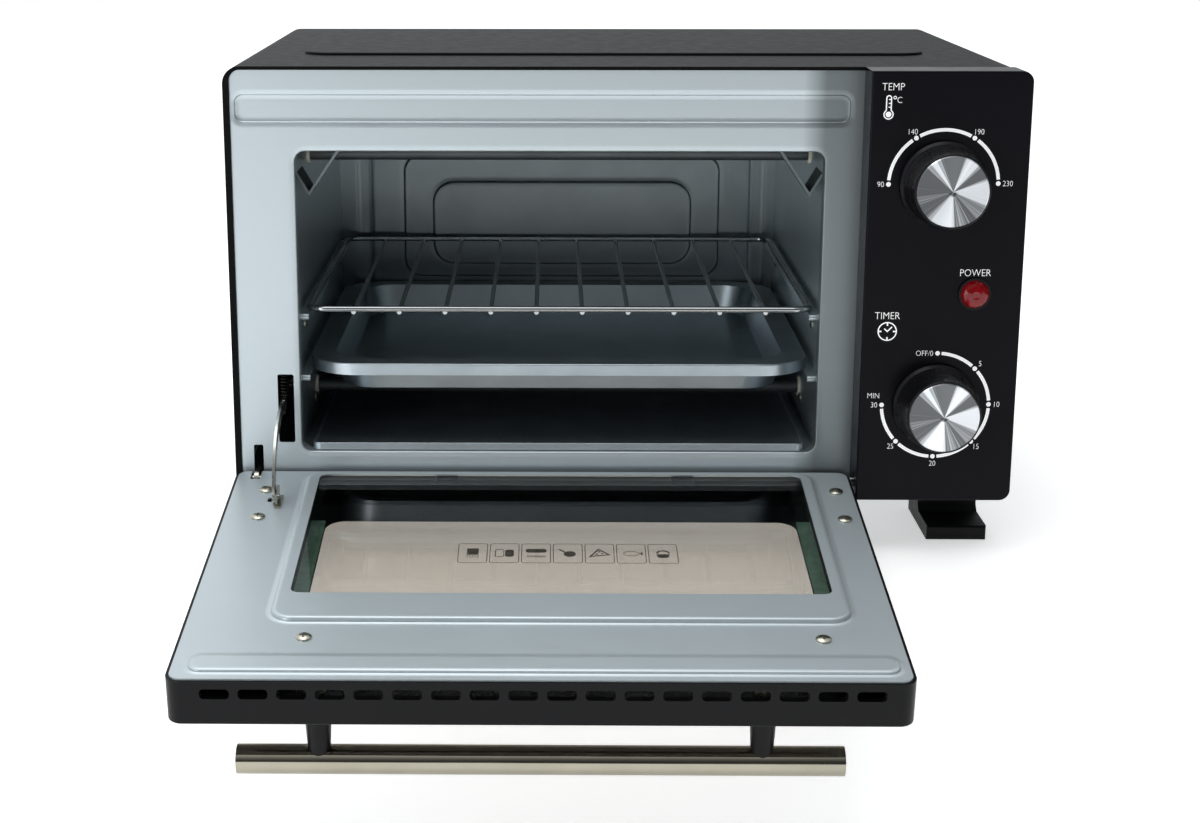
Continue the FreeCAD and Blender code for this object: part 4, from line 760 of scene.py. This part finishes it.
class OVEN_OT_cavity(bpy.types.Operator):
    """Finishes the cooking cavity, the heaters and what carries them"""
    bl_idname = "oven.cavity"
    bl_label = "Cavity"

    def execute(self, context):
        colours = palette()
        # painted light and painted shade: one cavity colour is lightened to 1.6 for the walls and darkened to
        # 0.55 for the back wall, a lit and a shaded copy of the same sheet
        painted_light_walls = cavity_zinc("galvanised_walls_painted_light", shade(colours.cavity[:], 1.6))
        back = cavity_zinc("galvanised_back_wall_painted_shade", shade(colours.cavity[:], 0.55), upright_sheet(),
                           BACK_PRESSINGS)
        finish_nodes(painted_light_walls, "cavity_left", "cavity_right", "cavity_ceiling", "cavity_floor")
        finish_nodes(back, "cavity_back")
        finish_nodes(bare_metal("heat_darkened_zinc_steel", srgb("#767e80"), 0.5), "heater_bracket_left",
                     "heater_bracket_right")
        heaters = [f"{level}_heater_{place}" for level in ("upper", "lower") for place in ("front", "rear")]
        finish_nodes(oxidised_sheath(srgb("#5b5f60")), *heaters)
        finish_nodes(satin_polymer("steatite_ceramic", srgb("#e4dfd2"), 0.6, 0.3 * MM), "heater_insulators")
        terminals = bare_metal("nickel_plated_steel", srgb("#c9c2b0"), 0.28)
        finish_nodes(terminals, "heater_terminals")
        return {"FINISHED"}


class OVEN_OT_racks(bpy.types.Operator):
    """Finishes the wire rack, the baking tray and the crumb tray"""
    bl_idname = "oven.racks"
    bl_label = "Racks"

    def execute(self, context):
        colours = palette()
        finish_nodes(bare_metal("chromed_wire", colours.chrome[:], 0.14, grit=2 * MM), "wire_rack")
        finish_nodes(bare_metal("aluminised_tray_steel", colours.tray[:], 0.34, (12, 1, 1)), "baking_tray")
        finish_nodes(bare_metal("tinned_crumb_tray_steel", colours.tray[:], 0.4, (12, 1, 1)), "crumb_tray")
        return {"FINISHED"}


class OVEN_OT_controls(bpy.types.Operator):
    """Finishes what stands behind the control panel"""
    bl_idname = "oven.controls"
    bl_label = "Controls"

    def execute(self, context):
        colours = palette()
        finish_nodes(bare_metal("passivated_zinc_die_cast", colours.zinc[:], 0.4), "thermostat",
                     "timer_works")
        finish_nodes(bare_metal("nickel_plated_bell", srgb("#d2ccbc"), 0.15), "timer_bell")
        finish_nodes(satin_polymer("natural_polyamide", srgb("#d9d3c2"), 0.5), "terminal_block")
        finish_nodes(bare_metal("turned_steel", srgb("#b4b4b0"), 0.25), "temp_shaft", "timer_shaft",
                     "hinge_pins",
                     "door_link")
        finish_nodes(satin_polymer("black_polyamide", colours.knob[:], 0.35), "lamp_bezel", "lamp_holder")
        return {"FINISHED"}


# ---------------------------------------------------------------- operators: dials and lamp

class OVEN_OT_dial_marks(bpy.types.Operator):
    """Prints the scales, figures and signs on the control panel"""
    bl_idname = "oven.dial_marks"
    bl_label = "Dial marks"

    def execute(self, context):
        marks = context.scene.oven_dial_marks
        ink = Print()
        temp, timer, lamp = (middle(node) for node in ("temp_knob", "timer_knob", "lamp_bezel"))
        self.scale(ink, temp, {180: "90", 122: "140", 58: "190", 1: "230"}, marks)
        self.scale(ink, timer, {90: "OFF/0", 45: "5", 1: "10", -45: "15", -90: "20", -135: "25", -180: "30"},
                   marks)
        left = temp.x - 25.6 * MM
        ink.words("TEMP", left + 1.7 * MM, temp.z + 43.2 * MM, marks.titles)
        self.thermometer(ink, left, temp.z + 31.0 * MM)
        ink.words("C", left + 4.7 * MM, temp.z + 37.4 * MM, marks.titles * 0.85)
        ink.band(left + 2.6 * MM, temp.z + 38.4 * MM, 0.6 * MM, 0.32 * MM, 0, 360, 20)
        ink.words("POWER", lamp.x, lamp.z + 9.6 * MM, marks.titles)
        ink.words("TIMER", timer.x - 23.4 * MM, timer.z + 41.7 * MM, marks.titles)
        self.clock(ink, timer.x - 23.2 * MM, timer.z + 34.4 * MM)
        ink.words("MIN", timer.x - marks.radius - 1.0 * MM, timer.z + 4.4 * MM, marks.figures, "RIGHT")
        panel_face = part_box("control_panel")[0][1]
        mesh = ink.solid("dial_marks", marks.ink, upright(0, panel_face - EPSILON, 0))
        # painted glow: the white marks glow at 0.3 of their own colour, though they are no lamp
        show("dial_marks", mesh, "housing", [fired_ink("white_screen_ink_painted_glow",
                                                                        palette().white_ink[:], 0.5, 0.3)])
        return {"FINISHED"}

    def scale(self, ink, dial, figures, marks):
        """A broken arc with a dot at each figure, in degrees anticlockwise from the right."""
        gap = math.degrees(1.75 * marks.dot / marks.radius)
        steps = sorted(figures, reverse=True)
        for start, end in zip(steps, steps[1:]):
            ink.band(dial.x, dial.z, marks.radius, marks.width, start - gap, end + gap)
        for angle, text in figures.items():
            turn = math.radians(angle)
            way = Vector((math.cos(turn), math.sin(turn)))
            ink.disc(dial.x + way.x * marks.radius, dial.z + way.y * marks.radius, marks.dot)
            at = Vector((dial.x, dial.z)) + way * (marks.radius + 3.3 * MM)
            align = "CENTER"
            if text == "OFF/0":
                at, align = Vector((dial.x - 1.9 * MM, dial.z + marks.radius)), "RIGHT"
            elif abs(way.y) < 0.2:
                at, align = at - way * 1.4 * MM, "LEFT" if way.x > 0 else "RIGHT"
            ink.words(text, at.x, at.y, marks.figures, align)

    def thermometer(self, ink, x, z):
        """A tube over a bulb, with three ticks."""
        bulb, tube, line = 2.0 * MM, 1.05 * MM, 0.5 * MM
        ink.disc(x, z, bulb * 0.62)
        ink.band(x, z, bulb, line, 122, 418)
        top = z + 7.2 * MM
        outline = [(x - tube, z + bulb * 0.85), (x - tube, top)]
        outline += [(x + tube * math.cos(math.radians(a)), top + tube * math.sin(math.radians(a)))
                    for a in range(165, 0, -15)]
        outline += [(x + tube, top), (x + tube, z + bulb * 0.85)]
        ink.ribbon(outline, line)
        for rise in (3.2, 4.9, 6.6):
            ink.ribbon([(x - 0.1 * MM, z + rise * MM), (x + tube - line / 2, z + rise * MM)], 0.4 * MM)

    def clock(self, ink, x, z):
        """A clock face with four ticks and two hands."""
        rim, line = 4.1 * MM, 0.55 * MM
        ink.band(x, z, rim, line, 0, 360, 64)
        for quarter in range(4):
            way = Vector((math.cos(quarter * math.pi / 2), math.sin(quarter * math.pi / 2)))
            start, end = way * (rim - line / 2 - EPSILON), way * (rim - 1.5 * MM)
            ink.ribbon([(x + start.x, z + start.y), (x + end.x, z + end.y)], 0.7 * MM)
        ink.ribbon([(x - 1.4 * MM, z + 1.3 * MM), (x, z), (x + 2.1 * MM, z + 2.1 * MM)], line)


class OVEN_OT_knobs(bpy.types.Operator):
    """Finishes both knobs: satin skirts, a spun cap and a raised pointer"""
    bl_idname = "oven.knobs"
    bl_label = "Knobs"

    def execute(self, context):
        colours, fittings = palette(), context.scene.oven_fittings
        skirt = satin_polymer("black_knob_abs", colours.knob[:], 0.3)
        grey = fired_ink("grey_pad_print", srgb("#8b8d8f"), 0.5)
        for dial, angle in (("temp", 180), ("timer", 90)):
            finish_nodes(skirt, f"{dial}_knob")
            cap = spun_aluminium(f"spun_aluminium_{dial}", colours.knob_face[:], middle(f"{dial}_knob_cap"))
            finish_nodes(cap, f"{dial}_knob_cap")
            centre, (low, high) = middle(f"{dial}_knob"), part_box(f"{dial}_knob")
            rim = (high[0] - low[0]) / 2
            mark = Print()
            reach = rim - 0.9 * MM
            mark.patch(rounded_points(reach - fittings.pointer * 0.5, -0.45 * MM, reach, 0.45 * MM, 0.4 * MM,
                                      6))
            skirt_face = high[1] - 2.0 * MM
            turn = Matrix.Rotation(math.radians(angle), 4, "Z")
            place = upright(centre.x, skirt_face, centre.z) @ turn
            mesh = mark.solid(f"{dial}_pointer", 0.15 * MM, place)
            show(f"{dial}_pointer", mesh, f"{dial}_dial", [grey])
        return {"FINISHED"}


class OVEN_OT_lamp(bpy.types.Operator):
    """Builds the lamp's faceted lens"""
    bl_idname = "oven.lamp"
    bl_label = "Lamp"

    def execute(self, context):
        facets = context.scene.oven_fittings.facets
        low, high = (Vector(corner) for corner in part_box("lamp_lens"))
        centre, rim, back, front = (low + high) / 2, (high.x - low.x) / 2, high.y, low.y
        bezel_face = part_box("lamp_bezel")[0][1]
        neck = rim * 0.86
        head = rim * 1.2
        profile = [(0, back), (neck, back), (neck, bezel_face), (head, bezel_face - 0.05 * MM),
                   (head * 0.95, bezel_face - 0.9 * MM), (head * 0.85, front + 1.0 * MM),
                   (head * 0.6, front + 0.35 * MM), (head * 0.3, front), (0, front + 0.25 * MM)]
        lens = turned(profile, facets)
        # one ring near the front is turned by half a facet, so that the faces fold into diamonds
        for vertex in lens.verts:
            if front + 0.2 * MM < vertex.co.y < front + 0.5 * MM and vertex.co.xz.length > EPSILON:
                vertex.co.xz = Matrix.Rotation(math.pi / facets, 2) @ vertex.co.xz
        bmesh.ops.triangulate(lens, faces=[face for face in lens.faces if len(face.verts) > 3])
        lens.transform(Matrix.Translation((centre.x, 0, centre.z)))
        mesh = to_mesh(lens, "lamp_facets", math.radians(5))
        show("lamp_facets", mesh, "housing", [lens_polycarbonate(palette().lamp[:])],
             ("lamp_lens",))
        return {"FINISHED"}


# ---------------------------------------------------------------- operators: the door

def pane(name, node, clear, edge):
    """A toughened pane the size of its node, with a ground and chamfered edge, which stands for the node."""
    flat = on_door().inverted()
    corners = [flat @ vertex.co for vertex in NODES[node].data.vertices]
    low = Vector([min(c[i] for c in corners) for i in range(3)])
    high = Vector([max(c[i] for c in corners) for i in range(3)])
    slab = rounded_slab(low, high, 4.0 * MM, 0.4 * MM)
    thickness = high.z - low.z
    for face in slab.faces:
        face.material_index = int(abs(face.normal.z) < 0.9 or face.calc_area() < thickness * thickness)
    slab.transform(on_door())
    mesh = to_mesh(slab, name)
    return show(name, mesh, "door", [clear, edge], (node,))


class OVEN_OT_door(bpy.types.Operator):
    """Finishes the door's frame, clips, link bracket and handle"""
    bl_idname = "oven.door"
    bl_label = "Door"

    def execute(self, context):
        colours = palette()
        finish_nodes(satin_polymer("black_door_frame_abs", colours.door_frame[:], 0.36), "door_frame")
        finish_nodes(zinc_plate(), "link_bracket", "hinge_tab")
        finish_nodes(bare_metal("black_phosphated_steel", srgb("#232425"), 0.5), "glass_clips")
        chrome = bare_metal("polished_stainless_tube", srgb("#a29d8e"), 0.09, (60, 1, 1))
        finish_nodes(chrome, "handle_tube", "handle_end_caps")
        finish_nodes(satin_polymer("black_glass_filled_nylon", colours.knob[:], 0.4), "handle_post_left",
                     "handle_post_right")
        return {"FINISHED"}


class OVEN_OT_door_glass(bpy.types.Operator):
    """Finishes the outer pane, builds the inner one, the black border fired on the outer one and its row of
    food signs
    """
    bl_idname = "oven.door_glass"
    bl_label = "Door glass"

    def execute(self, context):
        colours, sizes = palette(), context.scene.oven_door_print
        clear = float_glass("clear_float_glass", colours.glass[:])
        finish_nodes(clear, "outer_glass")
        pane("inner_pane", "inner_glass", clear, ground_edge(colours.glass_edge[:]))
        centre = middle("outer_glass").x
        face = door_levels("outer_glass")[1]
        window = centre + sizes.window_shift
        border = self.border(window, sizes, face)
        show("glass_border", border, "door",
             [fired_ink("black_ceramic_ink", colours.black_ink[:], 0.3)])
        seals, seal_reach = Print(), (0.5 * MM, 7 * MM)
        for side in (-1, 1):
            near, far = (window + side * (sizes.half_width + reach) for reach in seal_reach)
            seals.patch([(near, -sizes.top_edge), (far, -sizes.top_edge), (far, -sizes.hinge_edge),
                         (near, -sizes.hinge_edge)][::side])
        strips = seals.solid("pane_seals", 0.3 * MM, on_door(face + 0.1 * MM))
        show("pane_seals", strips, "door", [ground_edge(colours.glass_edge[:])])
        signs = Print()
        first = centre - sizes.sign_pitch * (sizes.signs - 1) / 2 + 11.6 * MM
        for i in range(sizes.signs):
            self.sign(signs, i, first + sizes.sign_pitch * i, -sizes.sign_row, sizes)
        mesh = signs.solid("food_signs", 0.06 * MM, on_door(face + EPSILON))
        show("food_signs", mesh, "door",
             [fired_ink("grey_ceramic_ink", colours.grey_ink[:], 0.5)])
        return {"FINISHED"}

    def border(self, centre, sizes, face):
        """A flat sheet of ink over the whole pane except a window with round corners."""
        flat = on_door().inverted()
        corners = [flat @ vertex.co for vertex in NODES["outer_glass"].data.vertices]
        inset = 3 * MM
        left, right = min(c.x for c in corners) + inset, max(c.x for c in corners) - inset
        bottom, top = min(c.y for c in corners) + inset, max(c.y for c in corners) - inset
        hole = rounded_points(centre - sizes.half_width, -sizes.top_edge, centre + sizes.half_width,
                              -sizes.hinge_edge, sizes.corner, 12)
        edge = rounded_points(left, bottom, right, top, 2 * MM, 12)
        ink = Print()
        inner = [ink.shape.verts.new((x, y, 0)) for x, y in hole]
        outer = [ink.shape.verts.new((x, y, 0)) for x, y in edge]
        for i in range(len(inner)):
            j = (i + 1) % len(inner)
            ink.shape.faces.new((inner[i], inner[j], outer[j], outer[i]))
        return ink.solid("glass_border", 0.06 * MM, on_door(face + EPSILON))

    def sign(self, ink, index, x, y, sizes):
        """One outlined sign: its frame, a figure over it and a simple food shape."""
        half, tall = sizes.sign_pitch * 0.455, sizes.sign_height / 2
        line = 0.35 * MM
        ink.ribbon(rounded_points(x - half, y - tall, x + half, y + tall, 1.4 * MM, 5), line, closed=True)
        drawings = (self.toast, self.loaf, self.grill, self.fowl, self.slice, self.fish, self.bun)
        drawings[index % len(drawings)](ink, x, y)

    def toast(self, ink, x, y):
        """A slice of toast standing on a rack."""
        ink.patch([(x - 2.6 * MM, y - 1.5 * MM), (x + 2.6 * MM, y - 1.5 * MM), (x + 2.6 * MM, y + 4.5 * MM),
                   (x - 2.6 * MM, y + 4.5 * MM)])
        for i in range(5):
            at = x + (i - 2) * 1.2 * MM
            ink.ribbon([(at, y - 2.2 * MM), (at, y - 4.2 * MM)], 0.4 * MM)

    def loaf(self, ink, x, y):
        """A loaf with its first slice cut."""
        ink.ribbon(rounded_points(x - 4 * MM, y - 3.4 * MM, x - 0.3 * MM, y + 3.4 * MM, 0.8 * MM, 4),
                   0.35 * MM, True)
        ink.patch(rounded_points(x + 0.3 * MM, y - 3.4 * MM, x + 4.2 * MM, y + 3.4 * MM, 1.2 * MM, 5))

    def grill(self, ink, x, y):
        """A cut of meat over wavy heat."""
        ink.patch(rounded_points(x - 4.6 * MM, y + 0.6 * MM, x + 4.6 * MM, y + 4.2 * MM, 1.2 * MM, 5))
        wave = [(x + (i - 6) * 0.7 * MM, y - 3 * MM + (0.9 * MM if i % 2 else -0.9 * MM)) for i in range(13)]
        ink.ribbon(wave, 0.35 * MM)

    def fowl(self, ink, x, y):
        """A roast drumstick."""
        ink.disc(x + 0.9 * MM, y - 0.6 * MM, 2.7 * MM)
        ink.ribbon([(x - 1.4 * MM, y + 1.4 * MM), (x - 3.9 * MM, y + 4 * MM)], 0.9 * MM)

    def slice(self, ink, x, y):
        """A wedge of pizza with three toppings."""
        ink.ribbon([(x - 4.2 * MM, y - 3 * MM), (x + 4.2 * MM, y - 1.2 * MM), (x - 0.4 * MM, y + 4 * MM)],
                   0.8 * MM, closed=True)
        for dx, dy in ((-1.2, -0.7), (1.2, -0.1), (-0.1, 1.6)):
            ink.disc(x + dx * MM, y + dy * MM, 0.6 * MM, 12)

    def fish(self, ink, x, y):
        """A fish on its side."""
        arc = [(x - 3.4 * MM * math.cos(math.radians(a)), y + 2.2 * MM * math.sin(math.radians(a)))
               for a in range(0, 360, 15)]
        ink.ribbon(arc, 0.35 * MM, closed=True)
        ink.patch([(x + 3.7 * MM, y), (x + 5 * MM, y + 1.8 * MM), (x + 5 * MM, y - 1.8 * MM)])

    def bun(self, ink, x, y):
        """A small cake in its paper case."""
        ink.patch([(x - 2.2 * MM, y - 4 * MM), (x + 2.2 * MM, y - 4 * MM), (x + 3 * MM, y - 0.6 * MM),
                   (x - 3 * MM, y - 0.6 * MM)])
        ink.band(x, y + 0.2 * MM, 2.6 * MM, 0.9 * MM, 0, 180, 16)


# ---------------------------------------------------------------- operators: fasteners and spring

class OVEN_OT_screws(bpy.types.Operator):
    """Builds the cross-recessed heads of the door, cover and foot screws where the design has plain ones, and
    zinc-plates the rivets and handle screws
    """
    bl_idname = "oven.screws"
    bl_label = "Screws"

    def execute(self, context):
        tree, fittings = screw_head_tree(), context.scene.oven_fittings
        inward = on_door().to_3x3() @ Vector((0, 0, 1))
        plate = zinc_plate()
        finish_nodes(plate, "cavity_rivets", "handle_screws")
        for node, body in (("door_screws", "door"), ("cover_screws", "housing"), ("foot_screws", "housing")):
            tops, ways, radius = [], [], 0.0
            for corners in islands(node):
                centre = sum(corners, Vector()) / len(corners)
                way = inward if node == "door_screws" else self.outward(node, centre)
                top = max(corner.dot(way) for corner in corners)
                rim = [corner - way * corner.dot(way) for corner in corners
                       if corner.dot(way) > top - 1.2 * MM]
                hub = sum(rim, Vector()) / len(rim)
                radius = max((corner - hub).length for corner in rim)
                tops.append(hub + way * (top - fittings.screw_rise))
                ways.append(way)
            if not tops:
                raise RuntimeError(f"{node} has no screws")
            holder = run_tree(tree, tops, ways, {"Radius": radius, "Height": fittings.screw_rise,
                                                 "Slot": fittings.screw_slot, "Material": plate})
            name = node.replace("screws", "screw_heads")
            show(name, plain_mesh(holder, name), body, [plate], (node,))
        return {"FINISHED"}

    def outward(self, node, centre):
        """The way a housing screw's head looks: down under the feet, sideways, or backwards."""
        if node == "foot_screws":
            return Vector((0, 0, -1))
        side_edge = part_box("rear_panel")[1][0]
        return Vector((math.copysign(1, centre.x), 0,
                       0)) if abs(centre.x) > side_edge - 2 * MM else Vector((0, 1, 0))


class OVEN_OT_spring(bpy.types.Operator):
    """Winds the link's tension spring"""
    bl_idname = "oven.spring"
    bl_label = "Spring"

    def execute(self, context):
        low, high = (Vector(corner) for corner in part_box("link_spring"))
        wire = 0.45 * MM
        radius = (high.x - low.x) / 2 - wire
        steel = bare_metal("oiled_black_music_wire", srgb("#2c2b2a"), 0.35)
        foot = Vector(((low.x + high.x) / 2, (low.y + high.y) / 2, low.z + wire))
        holder = run_tree(coil_tree(), [foot], [Vector((0, 0, 1))], {
            "Turns": context.scene.oven_fittings.spring_turns, "Radius": radius, "Wire": wire,
            "Length": high.z - low.z - 2 * wire, "Material": steel})
        mesh = plain_mesh(holder, "tension_spring")
        show("tension_spring", mesh, "housing", [steel], ("link_spring",))
        return {"FINISHED"}


# ---------------------------------------------------------------- operators: the stage

def area_light(name, at, towards, size, power, tone):
    """A rectangular softbox at a place, turned towards another."""
    light = bpy.data.lights.new(name, "AREA")
    light.shape = "RECTANGLE"
    light.size, light.size_y = size
    light.energy = power
    light.color = tone[:3]
    holder = bpy.data.objects.new(name, light)
    holder.matrix_world = Matrix.Translation(at) @ (Vector(at) - Vector(towards)).to_track_quat("Z",
        "Y").to_matrix().to_4x4()
    bpy.context.scene.collection.objects.link(holder)


class OVEN_OT_stage(bpy.types.Operator):
    """Lays the pale floor, hangs the lights and sets the camera"""
    bl_idname = "oven.stage"
    bl_label = "Stage"

    def execute(self, context):
        sizes = context.scene.oven_stage
        self.floor(sizes)
        self.room(sizes)
        area_light("overhead_softbox", (-0.25, -0.05, 1.5), (0, 0, 0.1), (1.4, 1.0), 9, srgb("#ffffff"))
        area_light("left_softbox", (-0.95, -1.3, 0.2), (-0.1, 0, 0.1), (0.5, 0.9), 4.5, srgb("#fbfcff"))
        self.camera(sizes)
        context.scene.view_settings.view_transform = "Standard"
        return {"FINISHED"}

    def floor(self, sizes):
        """One pale sheet: level under the feet, and falling to a lower level under the hanging door."""
        shape = bmesh.new()
        edge = -12 * MM
        steps = 24
        lines = [(sizes.room, 0.0), (edge, 0.0)]
        for i in range(1, steps + 1):
            share = i / steps
            fall = share * share * (3 - 2 * share)
            lines.append((edge - sizes.ledge_run * share, -sizes.ledge * fall))
        lines.append((-sizes.room, -sizes.ledge))
        rows = [[shape.verts.new((side * sizes.room, y, z)) for side in (-1, 1)] for y, z in lines]
        for near, far in zip(rows, rows[1:]):
            shape.faces.new((near[0], far[0], far[1], near[1]))
        bmesh.ops.recalc_face_normals(shape, faces=shape.faces)
        floor = bpy.data.objects.new("floor", to_mesh(shape, "floor"))
        bpy.context.scene.collection.objects.link(floor)
        floor.data.materials.append(self.paper(sizes))

    def paper(self, sizes):
        """Matt white paper; the oven's metal reflects a darker one, most so near the oven and to the right."""
        material, tree, shader = new_finish("matt_white_paper", Roughness=0.9, Specular_IOR_Level=0.1,
                                            Emission_Color=srgb("#ffffff"),
                                            Emission_Strength=sizes.paper_glow)
        tint(tree, shader, mottle(tree, 40 * MM), srgb("#f6f6f6"), srgb("#f8f8f8"))
        place = add_node(tree, "ShaderNodeTexCoord")
        away = add_node(tree, "ShaderNodeVectorMath", {1: Vector((-0.8, -0.6, 0))},
                        {0: place.outputs["Object"]}, operation="DOT_PRODUCT")
        level = add_node(tree, "ShaderNodeMapRange", {"From Min": 0.34, "From Max": 0.95, "To Min": 0.07,
                                                      "To Max": 0.8},
                         {"Value": away.outputs["Value"]}, interpolation_type="SMOOTHSTEP")
        echo = add_node(tree, "ShaderNodeEmission", {"Color": srgb("#f4f6f6")},
                        {"Strength": level.outputs[0]})
        ray = add_node(tree, "ShaderNodeLightPath")
        both = add_node(tree, "ShaderNodeMixShader", links={
            0: ray.outputs["Is Camera Ray"], 1: echo.outputs[0], 2: shader.outputs[0]})
        add_node(tree, "ShaderNodeOutputMaterial", links={"Surface": both.outputs[0]})
        return material

    def room(self, sizes):
        """A studio that the camera sees white; its light comes from above, behind and the left."""
        world = bpy.data.worlds.new("studio")
        world.use_nodes = True
        tree = world.node_tree
        tree.nodes.clear()
        way = add_node(tree, "ShaderNodeTexCoord")
        bright_side = Vector((-0.45, 0.35, 0.82)).normalized()
        facing = add_node(tree, "ShaderNodeVectorMath", {1: bright_side},
                          {0: way.outputs["Generated"]}, operation="DOT_PRODUCT")
        level = add_node(tree, "ShaderNodeMapRange", {"From Min": -0.2, "From Max": 0.9, "To Min": 0.08,
                                                      "To Max": sizes.ambience},
                         {"Value": facing.outputs["Value"]}, interpolation_type="SMOOTHSTEP")
        lit = add_node(tree, "ShaderNodeBackground", {"Color": srgb("#f6fafc")},
                       {"Strength": level.outputs[0]})
        seen = add_node(tree, "ShaderNodeBackground", {"Color": srgb("#ffffff")})
        ray = add_node(tree, "ShaderNodeLightPath")
        both = add_node(tree, "ShaderNodeMixShader", links={
            0: ray.outputs["Is Camera Ray"], 1: lit.outputs[0], 2: seen.outputs[0]})
        add_node(tree, "ShaderNodeOutputWorld", links={"Surface": both.outputs[0]})
        bpy.context.scene.world = world

    def camera(self, sizes):
        """The camera, standing a little left of the middle and above the oven."""
        eye = bpy.data.cameras.new("camera")
        eye.lens = sizes.lens
        eye.shift_x, eye.shift_y = 0.0585, -0.0504
        holder = bpy.data.objects.new("camera", eye)
        holder.location = (-0.0323, -0.8846, 0.3045)
        holder.rotation_euler = (math.radians(90 - 13.58), 0, math.radians(0.59))
        bpy.context.scene.collection.objects.link(holder)
        bpy.context.scene.camera = holder


STEPS = (OVEN_OT_housing, OVEN_OT_cavity, OVEN_OT_racks, OVEN_OT_controls, OVEN_OT_dial_marks, OVEN_OT_knobs,
         OVEN_OT_lamp, OVEN_OT_door, OVEN_OT_door_glass, OVEN_OT_screws, OVEN_OT_spring, OVEN_OT_stage)
GROUPS = {"oven_colours": OVEN_PG_colours, "oven_dial_marks": OVEN_PG_dial_marks,
          "oven_door_print": OVEN_PG_door_print, "oven_fittings": OVEN_PG_fittings,
          "oven_stage": OVEN_PG_stage}


class OVEN_PT_panel(bpy.types.Panel):
    """Lists the steps and their sizes"""
    bl_idname = "OVEN_PT_panel"
    bl_label = "Toaster oven"
    bl_space_type = "VIEW_3D"
    bl_region_type = "UI"
    bl_category = "Oven"

    def draw(self, context):
        for step in STEPS:
            self.layout.operator(step.bl_idname)
        for name in GROUPS:
            group = getattr(context.scene, name)
            for key in group.bl_rna.properties.keys():
                if key not in {"rna_type", "name"}:
                    self.layout.prop(group, key)


def register():
    for group in GROUPS.values():
        bpy.utils.register_class(group)
    for name, group in GROUPS.items():
        setattr(bpy.types.Scene, name, bpy.props.PointerProperty(type=group))
    for step in (*STEPS, OVEN_PT_panel):
        bpy.utils.register_class(step)


def unregister():
    for step in reversed((*STEPS, OVEN_PT_panel)):
        bpy.utils.unregister_class(step)
    for name, group in GROUPS.items():
        delattr(bpy.types.Scene, name)
        bpy.utils.unregister_class(group)


def main():
    register()
    for step in STEPS:
        getattr(bpy.ops.oven, step.bl_idname.split(".")[1])()


if __name__ == "__main__":
    main()
